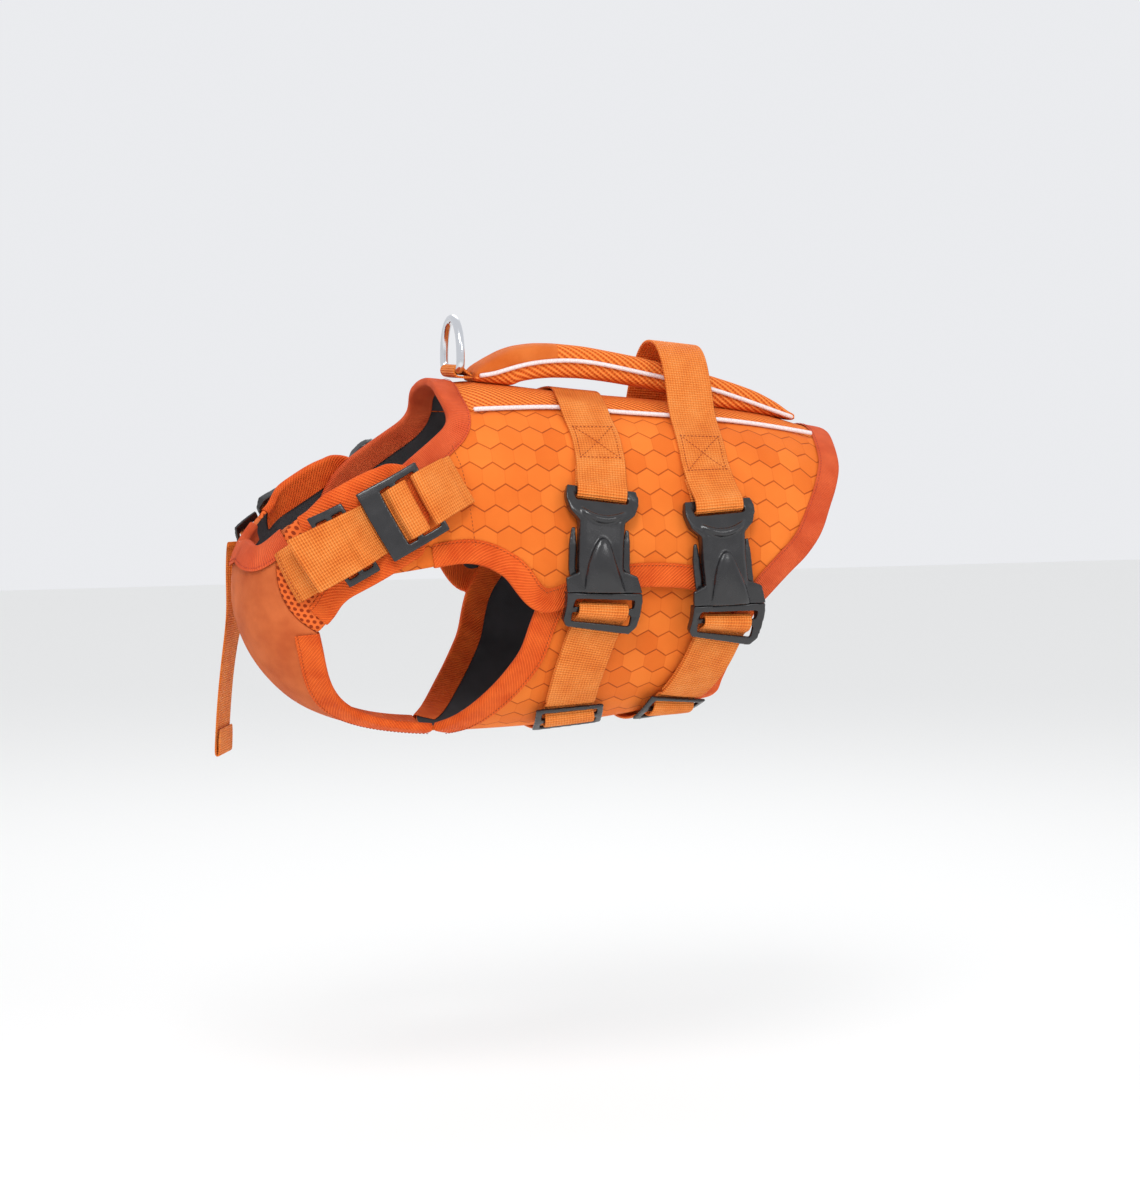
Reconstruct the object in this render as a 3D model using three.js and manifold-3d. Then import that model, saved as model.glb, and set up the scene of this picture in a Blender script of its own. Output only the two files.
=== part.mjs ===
import * as THREE from "three";
import Module from "manifold-3d";

// A life jacket in its worn shape, standing empty. Millimetres: +X runs to the rear hem,
// +Y to the wearer's right and +Z up. The origin is on the inside of the back, under the handle.

// Driving dimensions
const webWidth = 45;
const webThick = 2;
const tapeWidth = 20;
const tapeThick = 1;
const clear = 0.8;
const seamGap = 0.3;
const boundThick = 4;
const sideFoam = 9;
const spineFoam = 8;
const sideRise = 9;
const padRise = 8.4;
const pipingRadius = 1.7;
const handleHalfWidth = 20;
const ringWire = 3;
const ringHalfWidth = 25;
const ringHeight = 50;
const tabHalfWidth = 20;
const buckleLength = 117;
const buckleSplit = 85;

// The wearer's outline as girth lines, fanned out from the withers: the highest and the
// lowest point of each line, and half its width
const girthLines = [
  { topX: -180, topZ: 20, lowX: -338, lowZ: -112, half: 74 },
  { topX: -168, topZ: 19, lowX: -352, lowZ: -140, half: 81 },
  { topX: -155, topZ: 17, lowX: -350, lowZ: -185, half: 87 },
  { topX: -138, topZ: 15, lowX: -328, lowZ: -229, half: 93 },
  { topX: -112, topZ: 12, lowX: -283, lowZ: -264, half: 98 },
  { topX: -80, topZ: 8, lowX: -205, lowZ: -282, half: 102 },
  { topX: -35, topZ: 3, lowX: -110, lowZ: -283, half: 105 },
  { topX: 30, topZ: -3, lowX: -10, lowZ: -276, half: 106 },
  { topX: 110, topZ: -13, lowX: 90, lowZ: -258, half: 102 },
  { topX: 205, topZ: -30, lowX: 200, lowZ: -232, half: 94 },
];
const backRoundness = 2.05;
const bellyRoundness = 2.35;
const bellyTaper = 0.06;
const degreesPerLine = 30;

// The form: a spot is a girth line and a turn in degrees, 0 on the spine, below 0 on the left
const radians = Math.PI / 180;
const smoothstep = THREE.MathUtils.smoothstep;

function girthLine(line) {
  const last = girthLines.length - 1;
  const kept = THREE.MathUtils.clamp(line, 0, last);
  const index = Math.min(last - 1, Math.floor(kept));
  const part = kept - index;
  const beyond = line - kept;
  const found = {};
  for (const key of Object.keys(girthLines[0])) {
    const start = girthLines[index][key];
    const end = girthLines[index + 1][key];
    const before = index > 0 ? girthLines[index - 1][key] : 2 * start - end;
    const after = index + 2 <= last ? girthLines[index + 2][key] : 2 * end - start;
    const startSlope = (end - before) / 2;
    const endSlope = (after - start) / 2;
    const square = part * part;
    const cube = square * part;
    found[key] = (2 * cube - 3 * square + 1) * start + (cube - 2 * square + part) * startSlope
      + (3 * square - 2 * cube) * end + (cube - square) * endSlope + beyond * (end - start);
  }
  return found;
}

function bare(line, turn) {
  const { topX, topZ, lowX, lowZ, half } = girthLine(line);
  const upward = Math.cos(turn * radians);
  const sideward = Math.sin(turn * radians);
  const power = upward > 0 ? backRoundness : bellyRoundness;
  const reach = (Math.abs(upward) ** power + Math.abs(sideward) ** power) ** (-1 / power);
  const up = reach * upward;
  const wide = reach * sideward * (1 + bellyTaper * (up - 0.3));
  return new THREE.Vector3(
    (topX + lowX) / 2 + up * (topX - lowX) / 2,
    wide * half,
    (topZ + lowZ) / 2 + up * (topZ - lowZ) / 2,
  );
}

function slopes(line, turn) {
  const byLine = bare(line + 0.02, turn).sub(bare(line - 0.02, turn)).divideScalar(0.04);
  const byTurn = bare(line, turn + 0.5).sub(bare(line, turn - 0.5));
  return { byLine, byTurn };
}

function outward([line, turn]) {
  const { byLine, byTurn } = slopes(line, turn);
  return byTurn.cross(byLine).normalize().negate();
}

function form(spot, out) {
  return bare(spot[0], spot[1]).addScaledVector(outward(spot), out);
}

// A spot moved along the form by a distance given as a vector
function moved(spot, move) {
  let [line, turn] = spot;
  const steps = Math.max(1, Math.ceil(move.length() / 6));
  const step = move.clone().divideScalar(steps);
  for (let count = 0; count < steps; count += 1) {
    const { byLine, byTurn } = slopes(line, turn);
    const lineLine = byLine.dot(byLine);
    const lineTurn = byLine.dot(byTurn);
    const turnTurn = byTurn.dot(byTurn);
    const alongLine = step.dot(byLine);
    const alongTurn = step.dot(byTurn);
    const scale = lineLine * turnTurn - lineTurn * lineTurn;
    line += (alongLine * turnTurn - alongTurn * lineTurn) / scale;
    turn += (alongTurn * lineLine - alongLine * lineTurn) / scale;
  }
  return [line, turn];
}

// Points that are even along a smooth curve through spots, with its ends cut or kept
function fineCurve(spots) {
  const curve = new THREE.SplineCurve(
    spots.map(([line, turn]) => new THREE.Vector2(line * degreesPerLine, turn)),
  );
  const fine = curve.getPoints(24 * (spots.length - 1)).map(({ x, y }) => [x / degreesPerLine, y]);
  const lengths = [0];
  for (let index = 1; index < fine.length; index += 1) {
    const step = form(fine[index], 0).distanceTo(form(fine[index - 1], 0));
    lengths.push(lengths[index - 1] + step);
  }
  return { fine, lengths, length: lengths.at(-1) };
}

function spotAt({ fine, lengths, length }, distance) {
  const kept = THREE.MathUtils.clamp(distance, 0, length);
  let index = 1;
  while (index < lengths.length - 1 && lengths[index] < kept) index += 1;
  const part = (distance - lengths[index - 1]) / (lengths[index] - lengths[index - 1]);
  const [start, end] = [fine[index - 1], fine[index]];
  return [start[0] + (end[0] - start[0]) * part, start[1] + (end[1] - start[1]) * part];
}

function even(spots, count, from = 0, to = 0) {
  const curve = fineCurve(spots);
  const span = curve.length - from - to;
  return Array.from({ length: count + 1 }, (_, index) => spotAt(curve, from + span * index / count));
}

const mirrored = (spots) => spots.map(([line, turn]) => [line, -turn]);
const acrossBelly = (spots) => spots.map(([line, turn]) => [line, -360 - turn]);

// Materials
function look(color, roughness, metalness = 0) {
  return new THREE.MeshStandardMaterial({ color, roughness, metalness });
}
const looks = {
  hexagonCloth: look(0xe87a32, 0.8),
  smoothCloth: look(0xe27b52, 0.8),
  mesh: look(0xe2702a, 0.95),
  coralTape: look(0xdf5c42, 0.85),
  twillTape: look(0xe85c28, 0.85),
  web: look(0xe07a35, 0.85),
  reflective: look(0xeadcda, 0.4),
  black: look(0x333236, 0.45),
  chrome: look(0xcfd2d6, 0.15, 1),
};

const jacket = new THREE.Group();

// Closed bodies from points and triangles, with the faces turned outwards
function addBody(name, points, triangles, material, parent = jacket) {
  let volume = 0;
  for (const [a, b, c] of triangles) {
    volume += points[a].dot(points[b].clone().cross(points[c]));
  }
  const turned = volume > 0 ? triangles : triangles.map(([a, b, c]) => [a, c, b]);
  const geometry = new THREE.BufferGeometry().setFromPoints(points);
  geometry.setIndex(turned.flat());
  geometry.computeVertexNormals();
  const mesh = new THREE.Mesh(geometry, material);
  mesh.name = name;
  parent.add(mesh);
  return mesh;
}

// A strip runs through sections that each have an outer and an inner row of points. Faces
// listed by crossed(index) are cut along their other diagonal.
function stripBody(sections, closed = false, crossed = () => []) {
  const points = [];
  const triangles = [];
  const rows = sections[0].outer.length;
  const ring = 2 * rows;
  for (const { outer, inner } of sections) points.push(...outer, ...inner.toReversed());
  const count = sections.length;
  for (let index = 0; index < (closed ? count : count - 1); index += 1) {
    const here = index * ring;
    const next = ((index + 1) % count) * ring;
    for (let corner = 0; corner < ring; corner += 1) {
      const other = (corner + 1) % ring;
      if (crossed(index).includes(corner)) {
        triangles.push([here + corner, next + corner, here + other]);
        triangles.push([next + corner, next + other, here + other]);
      } else {
        triangles.push([here + corner, next + corner, next + other]);
        triangles.push([here + corner, next + other, here + other]);
      }
    }
  }
  if (!closed) {
    for (const [start, flip] of [[0, false], [(count - 1) * ring, true]]) {
      for (let row = 0; row < rows - 1; row += 1) {
        const quad = [start + row, start + row + 1, start + ring - 2 - row, start + ring - 1 - row];
        const [a, b, c, d] = flip ? quad.toReversed() : quad;
        triangles.push([a, b, c], [a, c, d]);
      }
    }
  }
  return { points, triangles };
}

function addStrip(name, sections, material, closed = false, crossed = () => []) {
  const { points, triangles } = stripBody(sections, closed, crossed);
  return addBody(name, points, triangles, material);
}

// A body from outer faces, with the inner point of each outer point, closed along its free edges
function thicken(faces, outer, inner) {
  const count = outer.length;
  const triangles = [...faces, ...faces.map(([a, b, c]) => [a + count, c + count, b + count])];
  const used = new Map();
  for (const [a, b, c] of faces) {
    for (const [from, to] of [[a, b], [b, c], [c, a]]) used.set(`${from} ${to}`, [from, to]);
  }
  for (const [from, to] of used.values()) {
    if (!used.has(`${to} ${from}`)) {
      triangles.push([from, from + count, to + count], [from, to + count, to]);
    }
  }
  return { points: [...outer, ...inner], triangles };
}

// The direction into a piece from each spot of its edge, longer where the edge turns
function inwardAlong(spots, insideSpot) {
  const points = spots.map((spot) => form(spot, 0));
  const inside = form(insideSpot, 0);
  const segments = points.slice(1).map((point, index) => point.clone().sub(points[index]));
  const middle = Math.floor(spots.length / 2);
  const trial = outward(spots[middle]).cross(segments[Math.max(0, middle - 1)]);
  const sign = trial.dot(inside.sub(points[middle])) > 0 ? 1 : -1;
  return spots.map((spot, index) => {
    const before = segments[Math.max(0, index - 1)];
    const after = segments[Math.min(segments.length - 1, index)];
    const normal = outward(spot);
    const first = normal.clone().cross(before).normalize().multiplyScalar(sign);
    const second = normal.clone().cross(after).normalize().multiplyScalar(sign);
    const mitre = first.clone().add(second).normalize();
    return mitre.divideScalar(Math.max(0.55, mitre.dot(first)));
  });
}

// A panel and its tape cut their long faces along the same diagonal
const fromSpine = (turn) => Math.abs(turn > 180 ? turn - 360 : turn < -180 ? turn + 360 : turn);
const leads = (spot, next) => spot[0] + 0.01 * fromSpine(spot[1]) > next[0] + 0.01 * fromSpine(next[1]);

const inset = (spot, inward, distance) => moved(spot, inward.clone().multiplyScalar(distance));

const margin = tapeWidth + 1.5;

function marginSpot(spot, next) {
  const part = margin / form(next, 0).distanceTo(form(spot, 0));
  return [spot[0] + part * (next[0] - spot[0]), spot[1] + part * (next[1] - spot[1])];
}

// A panel between four sides of spots. Bound sides stay thin for the width of their tape.
function addPanel(name, sides, { bound, lift, full, seamThick = boundThick }, material) {
  const { top, rear, low, front } = sides;
  const middle = [
    (top[0][0] + top.at(-1)[0] + low[0][0] + low.at(-1)[0]) / 4,
    (top[0][1] + top.at(-1)[1] + low[0][1] + low.at(-1)[1]) / 4,
  ];
  const along = top.length - 1;
  const down = front.length - 1;
  const loop = [...top.slice(0, -1), ...rear.slice(0, -1), ...low.toReversed().slice(0, -1),
    ...front.toReversed().slice(0, -1)];
  const corners = { top: 0, rear: along, low: along + down, front: 2 * along + down };
  const order = ["top", "rear", "low", "front"];
  const sideOf = (index) => order.findLast((side) => index >= corners[side]);
  const total = loop.length;
  const closedLoop = [loop.at(-1), ...loop, loop[0]];
  const inwards = inwardAlong(closedLoop, middle).slice(1, -1);
  const isCorner = (index) => order.some((side) => corners[side] === index);
  const isBound = (index) => bound.includes(sideOf(index));
  const inner = loop.map((spot, index) => {
    const previous = (index + total - 1) % total;
    if (isCorner(index) && isBound(index) !== isBound(previous)) {
      return marginSpot(spot, isBound(index) ? loop[previous] : loop[(index + 1) % total]);
    }
    return isBound(index) || (isCorner(index) && isBound(previous))
      ? inset(spot, inwards[index], margin) : spot;
  });
  const atLoop = (index) => inner[((index % total) + total) % total];
  const spots = [];
  const thickness = [];
  const place = (spot, thick) => {
    spots.push(spot);
    thickness.push(thick);
    return spots.length - 1;
  };
  const grid = [];
  for (let row = 0; row <= down; row += 1) {
    grid.push([]);
    for (let column = 0; column <= along; column += 1) {
      const [u, v] = [column / along, row / down];
      const onTop = atLoop(column);
      const onLow = atLoop(2 * along + down - column);
      const onRear = atLoop(along + row);
      const onFront = atLoop(total - row);
      const spot = [0, 1].map((part) => {
        const across = (1 - v) * onTop[part] + v * onLow[part];
        const downward = (1 - u) * onFront[part] + u * onRear[part];
        const cornered = (1 - u) * (1 - v) * atLoop(0)[part] + u * (1 - v) * atLoop(along)[part]
          + (1 - u) * v * atLoop(2 * along + down)[part] + u * v * atLoop(along + down)[part];
        return across + downward - cornered;
      });
      const edges = [row === 0 && "top", row === down && "low", column === 0 && "front",
        column === along && "rear"].filter(Boolean);
      let thick = full(spot);
      if (edges.length) thick = edges.some((edge) => bound.includes(edge)) ? boundThick : seamThick;
      grid[row].push(place(spot, Math.min(thick, Math.max(full(spot), boundThick))));
    }
  }
  const faces = [];
  const quad = (a, b, c, d) => faces.push([a, b, c], [a, c, d]);
  for (let row = 0; row < down; row += 1) {
    for (let column = 0; column < along; column += 1) {
      quad(grid[row][column], grid[row][column + 1], grid[row + 1][column + 1],
        grid[row + 1][column]);
    }
  }
  const innerIndex = (index) => {
    const kept = index % total;
    if (kept < along) return grid[0][kept];
    if (kept < along + down) return grid[kept - along][along];
    if (kept < 2 * along + down) return grid[down][2 * along + down - kept];
    return grid[total - kept][0];
  };
  const outerIndex = loop.map((spot, index) => {
    const previous = (index + total - 1) % total;
    const needed = isBound(index) || isBound(previous);
    return needed ? place(spot, boundThick) : innerIndex(index);
  });
  for (let index = 0; index < total; index += 1) {
    if (!isBound(index)) continue;
    const following = (index + 1) % total;
    const corner = [outerIndex[index], outerIndex[following], innerIndex(index + 1),
      innerIndex(index)];
    if (leads(loop[index], loop[following])) quad(...corner);
    else quad(...corner.slice(1), corner[0]);
  }
  const { points, triangles } = thicken(faces,
    spots.map((spot, index) => form(spot, lift(spot) + thickness[index])),
    spots.map((spot) => form(spot, lift(spot))));
  addBody(name, points, triangles, material);
}

// A tape folded over an edge. Its legs are flat on a panel with bound sides, and follow the
// form on a thin panel.
function addTape(name, spots, insideSpot, lift, material, { thin = false, room = clear } = {}) {
  const inwards = inwardAlong(spots, insideSpot);
  const reaches = thin ? [tapeWidth, tapeWidth / 2] : [tapeWidth];
  const face = (spot, inward, fold, high, low) => {
    const ends = [...reaches, fold].map((reach) => inset(spot, inward, reach));
    return [...ends.map((end) => form(end, lift(end) + high)),
      ...ends.toReversed().map((end) => form(end, lift(end) + low))];
  };
  const sections = spots.map((spot, index) => ({
    outer: face(spot, inwards[index], -room - tapeThick, boundThick + room + tapeThick,
      -room - tapeThick),
    inner: face(spot, inwards[index], -room, boundThick + room, -room),
  }));
  const legs = reaches.length;
  const rows = 2 * legs + 2;
  const run = (start) => Array.from({ length: legs }, (_, index) => start + index);
  const crossed = (index) => (leads(spots[index], spots[(index + 1) % spots.length])
    ? [...run(0), ...run(rows)] : [...run(legs + 1), ...run(rows + legs + 1)]);
  addStrip(name, sections, material, false, crossed);
}

// A track is a strap's centre line: distances along it and across it give places. Its
// direction is taken over a long reach, so the buckles on it stay straight.
const directionReach = 40;

function makeTrack(spots) {
  const curve = fineCurve(spots);
  const spot = (distance, across) => {
    const centre = spotAt(curve, distance);
    if (!across) return centre;
    const ahead = form(spotAt(curve, distance + directionReach), 0);
    const behind = form(spotAt(curve, distance - directionReach), 0);
    const sideways = outward(centre).cross(ahead.sub(behind)).normalize();
    return moved(centre, sideways.multiplyScalar(across));
  };
  const mark = (turn) => curve.lengths[curve.fine.findIndex(([, found]) => found <= turn)];
  return { length: curve.length, mark, spot, at: (s, across, high) => form(spot(s, across), high) };
}

// Places to both sides of a side view of distances and heights, half a web's thickness away
function webSides(profile) {
  return profile.map(([s, high], index) => {
    const [s0, high0] = profile[Math.max(0, index - 1)];
    const [s1, high1] = profile[Math.min(profile.length - 1, index + 1)];
    const first = new THREE.Vector2(s - s0, high - high0).normalize();
    const second = new THREE.Vector2(s1 - s, high1 - high).normalize();
    const way = first.clone().add(second).normalize();
    const shorter = Math.max(0.6, way.dot(index > 0 ? first : second));
    const offset = new THREE.Vector2(-way.y, way.x).multiplyScalar(webThick / 2 / shorter);
    return [1, -1].map((sign) => [s + sign * offset.x, high + sign * offset.y]);
  });
}

// Webbing along a side view, which may fold back on itself
const webRows = [-1, 0, 1];
const longestSpan = 21;

function addWeb(name, track, profile, rows = webRows) {
  const filled = profile.flatMap(([s, high], index) => {
    if (index === 0) return [[s, high]];
    const [before, highBefore] = profile[index - 1];
    const parts = Math.ceil(Math.abs(s - before) / longestSpan);
    return Array.from({ length: parts }, (_, part) => [
      before + (s - before) * (part + 1) / parts,
      highBefore + (high - highBefore) * (part + 1) / parts,
    ]);
  });
  const sections = webSides(filled).map((sides) => {
    const [outer, inner] = sides.map(([s, high]) => (
      rows.map((across) => track.at(s, across * webWidth / 2, high))));
    return { outer, inner };
  });
  addStrip(name, sections, looks.web);
}

// Rigid pieces are blocks joined to one body. A block has stations along the piece and
// rows across it, and place() puts it on a track.
const wasm = await Module();
wasm.setup();

function solidOf({ points, triangles }) {
  let volume = 0;
  for (const [a, b, c] of triangles) volume += points[a].dot(points[b].clone().cross(points[c]));
  const turned = volume > 0 ? triangles : triangles.map(([a, b, c]) => [a, c, b]);
  return new wasm.Manifold(new wasm.Mesh({
    numProp: 3,
    vertProperties: new Float32Array(points.flatMap((point) => point.toArray())),
    triVerts: new Uint32Array(turned.flat()),
  }));
}

function block(place, stations, rows = [-1, 1], side = 0) {
  return solidOf(stripBody(stations.map(([t, half, low, high]) => ({
    outer: rows.map((row) => place(t, side + row * half, high)),
    inner: rows.map((row) => place(t, side + row * half, low)),
  }))));
}

// A plate has rows of places [across, low, high] at its stations, and open cells
function plate(place, stations, open) {
  const across = stations[0][1].length;
  const faces = [];
  for (let index = 0; index < stations.length - 1; index += 1) {
    for (let row = 0; row < across - 1; row += 1) {
      if (open.some(([atStation, atRow]) => atStation === index && atRow === row)) continue;
      const corner = index * across + row;
      faces.push([corner, corner + 1, corner + across + 1], [corner, corner + across + 1,
        corner + across]);
    }
  }
  const points = (part) => stations.flatMap(([t, rows]) => rows.map((row) => (
    place(t, row[0], row[part]))));
  return thicken(faces, points(2), points(1));
}

const bothSides = (rows) => [...rows.map(([across, ...heights]) => [-across, ...heights]),
  ...rows.toReversed()];

function addJoined(name, blocks, material) {
  const joined = blocks.slice(1).reduce((whole, next) => whole.add(next), blocks[0]);
  const { numProp, vertProperties, triVerts } = joined.getMesh();
  const points = [];
  for (let start = 0; start < vertProperties.length; start += numProp) {
    points.push(new THREE.Vector3().fromArray(vertProperties, start));
  }
  const triangles = [];
  for (let start = 0; start < triVerts.length; start += 3) {
    triangles.push([...triVerts.slice(start, start + 3)]);
  }
  addBody(name, points, triangles, material);
}

// Heights above the form
function sideLift([line, turn]) {
  const low = Math.abs(turn > 180 ? turn - 360 : turn);
  return sideRise * smoothstep(low, 66, 82) * smoothstep(line, 4.9, 5.5);
}

function sideFull(spot) {
  const low = Math.abs(spot[1]);
  const frontTip = smoothstep(low, 58, 68) * (1 - smoothstep(spot[0], 4.1, 4.9));
  return sideFoam - (sideFoam - boundThick) * frontTip - 3 * sideLift(spot) / sideRise;
}

function padLift([, turn]) {
  return padRise * (1 - smoothstep(Math.abs(turn), 108, 124));
}

const noLift = () => 0;
const thinFull = () => boundThick;

// Outlines on the right side, from the neck to the hem and from the spine down
const pipingLine = [[1.75, 40], [2.64, 37.4], [3.73, 32.2], [5.26, 26.6], [6.5, 26.5], [7.8, 26],
  [8.8, 27.5]];
const neckEdge = [[1.75, 40], [2.06, 44], [2.08, 50], [1.86, 61.8], [1.7, 72], [1.68, 81],
  [1.95, 90], [2.5, 98], [3.2, 103.5]];
const armholeTop = [[3.2, 103.5], [3.89, 94.3], [4.45, 89.3], [4.93, 91], [5.38, 98], [5.62, 104]];
const sideLowEdge = [[5.62, 104], [5.82, 100.7], [6.24, 96.6], [6.58, 95.2], [7.15, 96.8],
  [7.94, 105.5]];
const hemEdge = [[8.8, 27.5], [8.78, 35.7], [8.74, 49], [8.58, 69.4], [8.36, 86.6], [8.09, 98.2],
  [7.94, 105.5]];
const spineNeckEdge = [[-0.15, 0], [0, 15], [0.4, 27.5], [1.75, 40]];
const spineHemEdge = [[8.85, 0], [8.84, 14], [8.8, 27.5]];
const bellyTopEdge = [[5.75, 91], [6.3, 85], [7.1, 85], [7.9, 92]];
const bellyFrontEdge = [[5.75, 91], [5.64, 98.5], [5.6, 107], [5.62, 116.6], [5.54, 127.7],
  [5.43, 139], [5.3, 152.6], [5.2, 161]];
const bellyRearEdge = [[7.9, 92], [7.95, 107.5], [7.84, 121.4], [7.8, 140], [7.85, 155], [7.85, 180]];
const chestSeam = [[0.25, 133], [1, 136.8], [1.63, 137.5], [2.1, 136.6], [2.61, 133.9], [2.95, 131]];
const chestArmhole = [[2.95, 131], [3.33, 136.6], [3.91, 148.8], [4.3, 156], [4.7, 160.5], [5.18, 161]];
const neckFrontEdge = [[0.25, 133], [0.45, 142], [0.55, 151], [0.35, 166], [0.2, 180]];
const padTopEdge = [[0.25, 132.7], [0.4, 120], [0.6, 106], [0.89, 90], [1.25, 79]];
const padLowEdge = [[2.95, 130.7], [2.95, 123], [2.92, 115], [3.3, 101], [3.58, 91]];
const padEnd = [[1.25, 79], [1.9, 73], [2.6, 74], [3.2, 80], [3.58, 91]];

const seamSteps = 17;
const armholeSteps = 9;
const lowEdgeSteps = 8;
const edgeSteps = 10;
const padSeamSteps = 6;
const seamDegrees = 0.3;
const tipMargin = 26;

// Even spots that keep clear of the corners, where two bound sides share their margin
function seamRow(spots, count, from = margin, to = margin) {
  const between = even(spots, count, from, to);
  return [spots[0], ...between.slice(1, -1), spots.at(-1)];
}

const neckRow = (place) => seamRow(place(neckEdge), edgeSteps, 0, margin);
const hemRow = (place) => seamRow(place(hemEdge), edgeSteps, 0, margin);

// Side panels with their bindings, and the shoulder pads that lie over their front tips
const sidePanels = { left: mirrored, right: (spots) => spots };
for (const [side, place] of Object.entries(sidePanels)) {
  const front = neckRow(place);
  const rear = hemRow(place);
  const armhole = seamRow(place(armholeTop), armholeSteps, margin, tipMargin);
  const lowEdge = seamRow(place(sideLowEdge), lowEdgeSteps, tipMargin, margin);
  const low = [...armhole, ...lowEdge.slice(1)];
  const top = seamRow(place(pipingLine), seamSteps);
  addPanel(`side_panel_${side}`, { top, rear, low, front },
    { bound: ["front", "rear", "low"], lift: sideLift, full: sideFull, seamThick: 7 },
    looks.hexagonCloth);
  addTape(`side_lower_binding_${side}`, low.slice(2, -1), place([[5.8, 60]])[0], sideLift,
    looks.twillTape);

  const padSides = {
    top: even(place(padTopEdge), 11),
    low: even(place(padLowEdge), 11),
    front: even(place(chestSeam), padSeamSteps).map(([line, turn]) => (
      [line, turn - Math.sign(turn) * seamDegrees]
    )),
    rear: even(place(padEnd), padSeamSteps),
  };
  addPanel(`shoulder_pad_${side}`, padSides, { bound: [], lift: padLift, full: thinFull },
    looks.mesh);
  const padEdge = [...padSides.top, ...padSides.rear.slice(1),
    ...padSides.low.toReversed().slice(1)];
  addTape(`shoulder_pad_binding_${side}`, padEdge.slice(1, -1), place([[2, 105]])[0], padLift,
    looks.twillTape, { thin: true });
}

// Spine strip
const spineSeam = seamRow(pipingLine, seamSteps).map(([line, turn]) => [line, turn - seamDegrees]);
const halfNeck = even([...mirrored(spineNeckEdge.slice(1)).toReversed(), ...spineNeckEdge], 6);
const halfHem = even([...mirrored(spineHemEdge.slice(1)).toReversed(), ...spineHemEdge], 6);
addPanel("spine_mesh",
  { top: mirrored(spineSeam), low: spineSeam, front: halfNeck, rear: halfHem },
  { bound: ["front", "rear"], lift: noLift, full: () => spineFoam, seamThick: 7 }, looks.mesh);

const neckLeft = neckRow(mirrored).toReversed();
const neckRight = neckRow(sidePanels.right);
addTape("neck_back_binding", [...neckLeft, ...halfNeck.slice(1, -1), ...neckRight], [5, 0], noLift,
  looks.coralTape);
const hemLeft = hemRow(mirrored).toReversed();
const hemRight = hemRow(sidePanels.right);
addTape("rear_hem_binding", [...hemLeft, ...halfHem.slice(1, -1), ...hemRight], [6, 0], sideLift,
  looks.coralTape);

// Belly panel, hidden under the side panels at its top edges, and the chest panel
const bellyFrontLeft = even(mirrored(bellyFrontEdge), 10);
const bellyFrontRight = even(acrossBelly(mirrored(bellyFrontEdge)), 10);
const bellySeam = even([[5.2, -161], [5.2, -180], [5.2, -199]], 3);
const bellyFront = [...bellyFrontLeft, ...bellySeam.slice(1, -1), ...bellyFrontRight.toReversed()];
const bellyRear = even([...mirrored(bellyRearEdge),
  ...acrossBelly(mirrored(bellyRearEdge)).toReversed().slice(1)], bellyFront.length - 1);
addPanel("belly_panel", {
  top: even(mirrored(bellyTopEdge), 9),
  low: even(acrossBelly(mirrored(bellyTopEdge)), 9),
  front: bellyFront,
  rear: bellyRear,
}, { bound: [], lift: noLift, full: thinFull }, looks.hexagonCloth);
const onThin = { thin: true };
const onBelly = { thin: true, room: 1.1 };
addTape("belly_front_binding_left", bellyFrontLeft, [6.8, -130], noLift, looks.twillTape, onBelly);
addTape("belly_front_binding_right", bellyFrontRight, [6.8, -230], noLift, looks.twillTape, onBelly);
addTape("belly_rear_binding", bellyRear, [6.5, -180], noLift, looks.twillTape, onThin);

const chestSide = [...even(mirrored(chestSeam), padSeamSteps),
  ...even(mirrored(chestArmhole), 10).slice(1)];
const chestOther = acrossBelly(chestSide);
const neckFront = even([...mirrored(neckFrontEdge),
  ...acrossBelly(mirrored(neckFrontEdge)).toReversed().slice(1)], 16);
addPanel("chest_panel", {
  top: chestSide,
  low: chestOther,
  front: neckFront,
  rear: even([[5.18, -161], [5.18, -180], [5.18, -199]], 16),
}, { bound: [], lift: noLift, full: thinFull }, looks.smoothCloth);
addTape("neck_front_binding", neckFront.slice(1, -1), [2, -180], noLift, looks.coralTape,
  { thin: true, room: 1.3 });
addTape("chest_armhole_binding_left", chestSide.slice(padSeamSteps), [3, -170], noLift,
  looks.twillTape, onThin);
addTape("chest_armhole_binding_right", chestOther.slice(padSeamSteps), [3, -190], noLift,
  looks.twillTape, onThin);

// Reflective piping over the two spine seams
function addTube(name, centres, radius, material, sides = 8) {
  const sections = centres.map(({ at, across, up }) => {
    const point = (index) => {
      const angle = (index + 0.5) * 2 * Math.PI / sides;
      return at.clone().addScaledVector(across, radius * Math.cos(angle))
        .addScaledVector(up, radius * Math.sin(angle));
    };
    const half = sides / 2;
    return {
      outer: Array.from({ length: half }, (_, index) => point(index)),
      inner: Array.from({ length: half }, (_, index) => point(sides - 1 - index)),
    };
  });
  addStrip(name, sections, material);
}

for (const [side, place] of Object.entries(sidePanels)) {
  const row = even(place(pipingLine), 24, margin + 1, margin + 1);
  const high = 7 + clear + pipingRadius;
  const centres = row.map((spot, index) => {
    const ahead = form(row[Math.min(row.length - 1, index + 1)], high);
    const behind = form(row[Math.max(0, index - 1)], high);
    const up = outward(spot);
    return { at: form(spot, high), up, across: up.clone().cross(ahead.sub(behind)).normalize() };
  });
  addTube(`spine_piping_${side}`, centres, pipingRadius, looks.reflective, 6);
}

// Girth straps: an upper web over the back, a lower web over the belly, and on each side
// a side-release buckle between them and a slider low on the belly
const onPanel = clear + webThick / 2;
const barEdge = 23.4;
const topBar = { start: 1.5, end: 8, low: 3.4, high: 8 };
const innerBar = { start: 98, end: 103, low: 4, high: 7.4 };
const endBar = { start: 111, end: buckleLength, low: 5.6, high: 10 };
const bodyHigh = 13;
const frameHalf = 34;
const frameInner = 26.6;
const prongAcross = 24.2;

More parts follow.
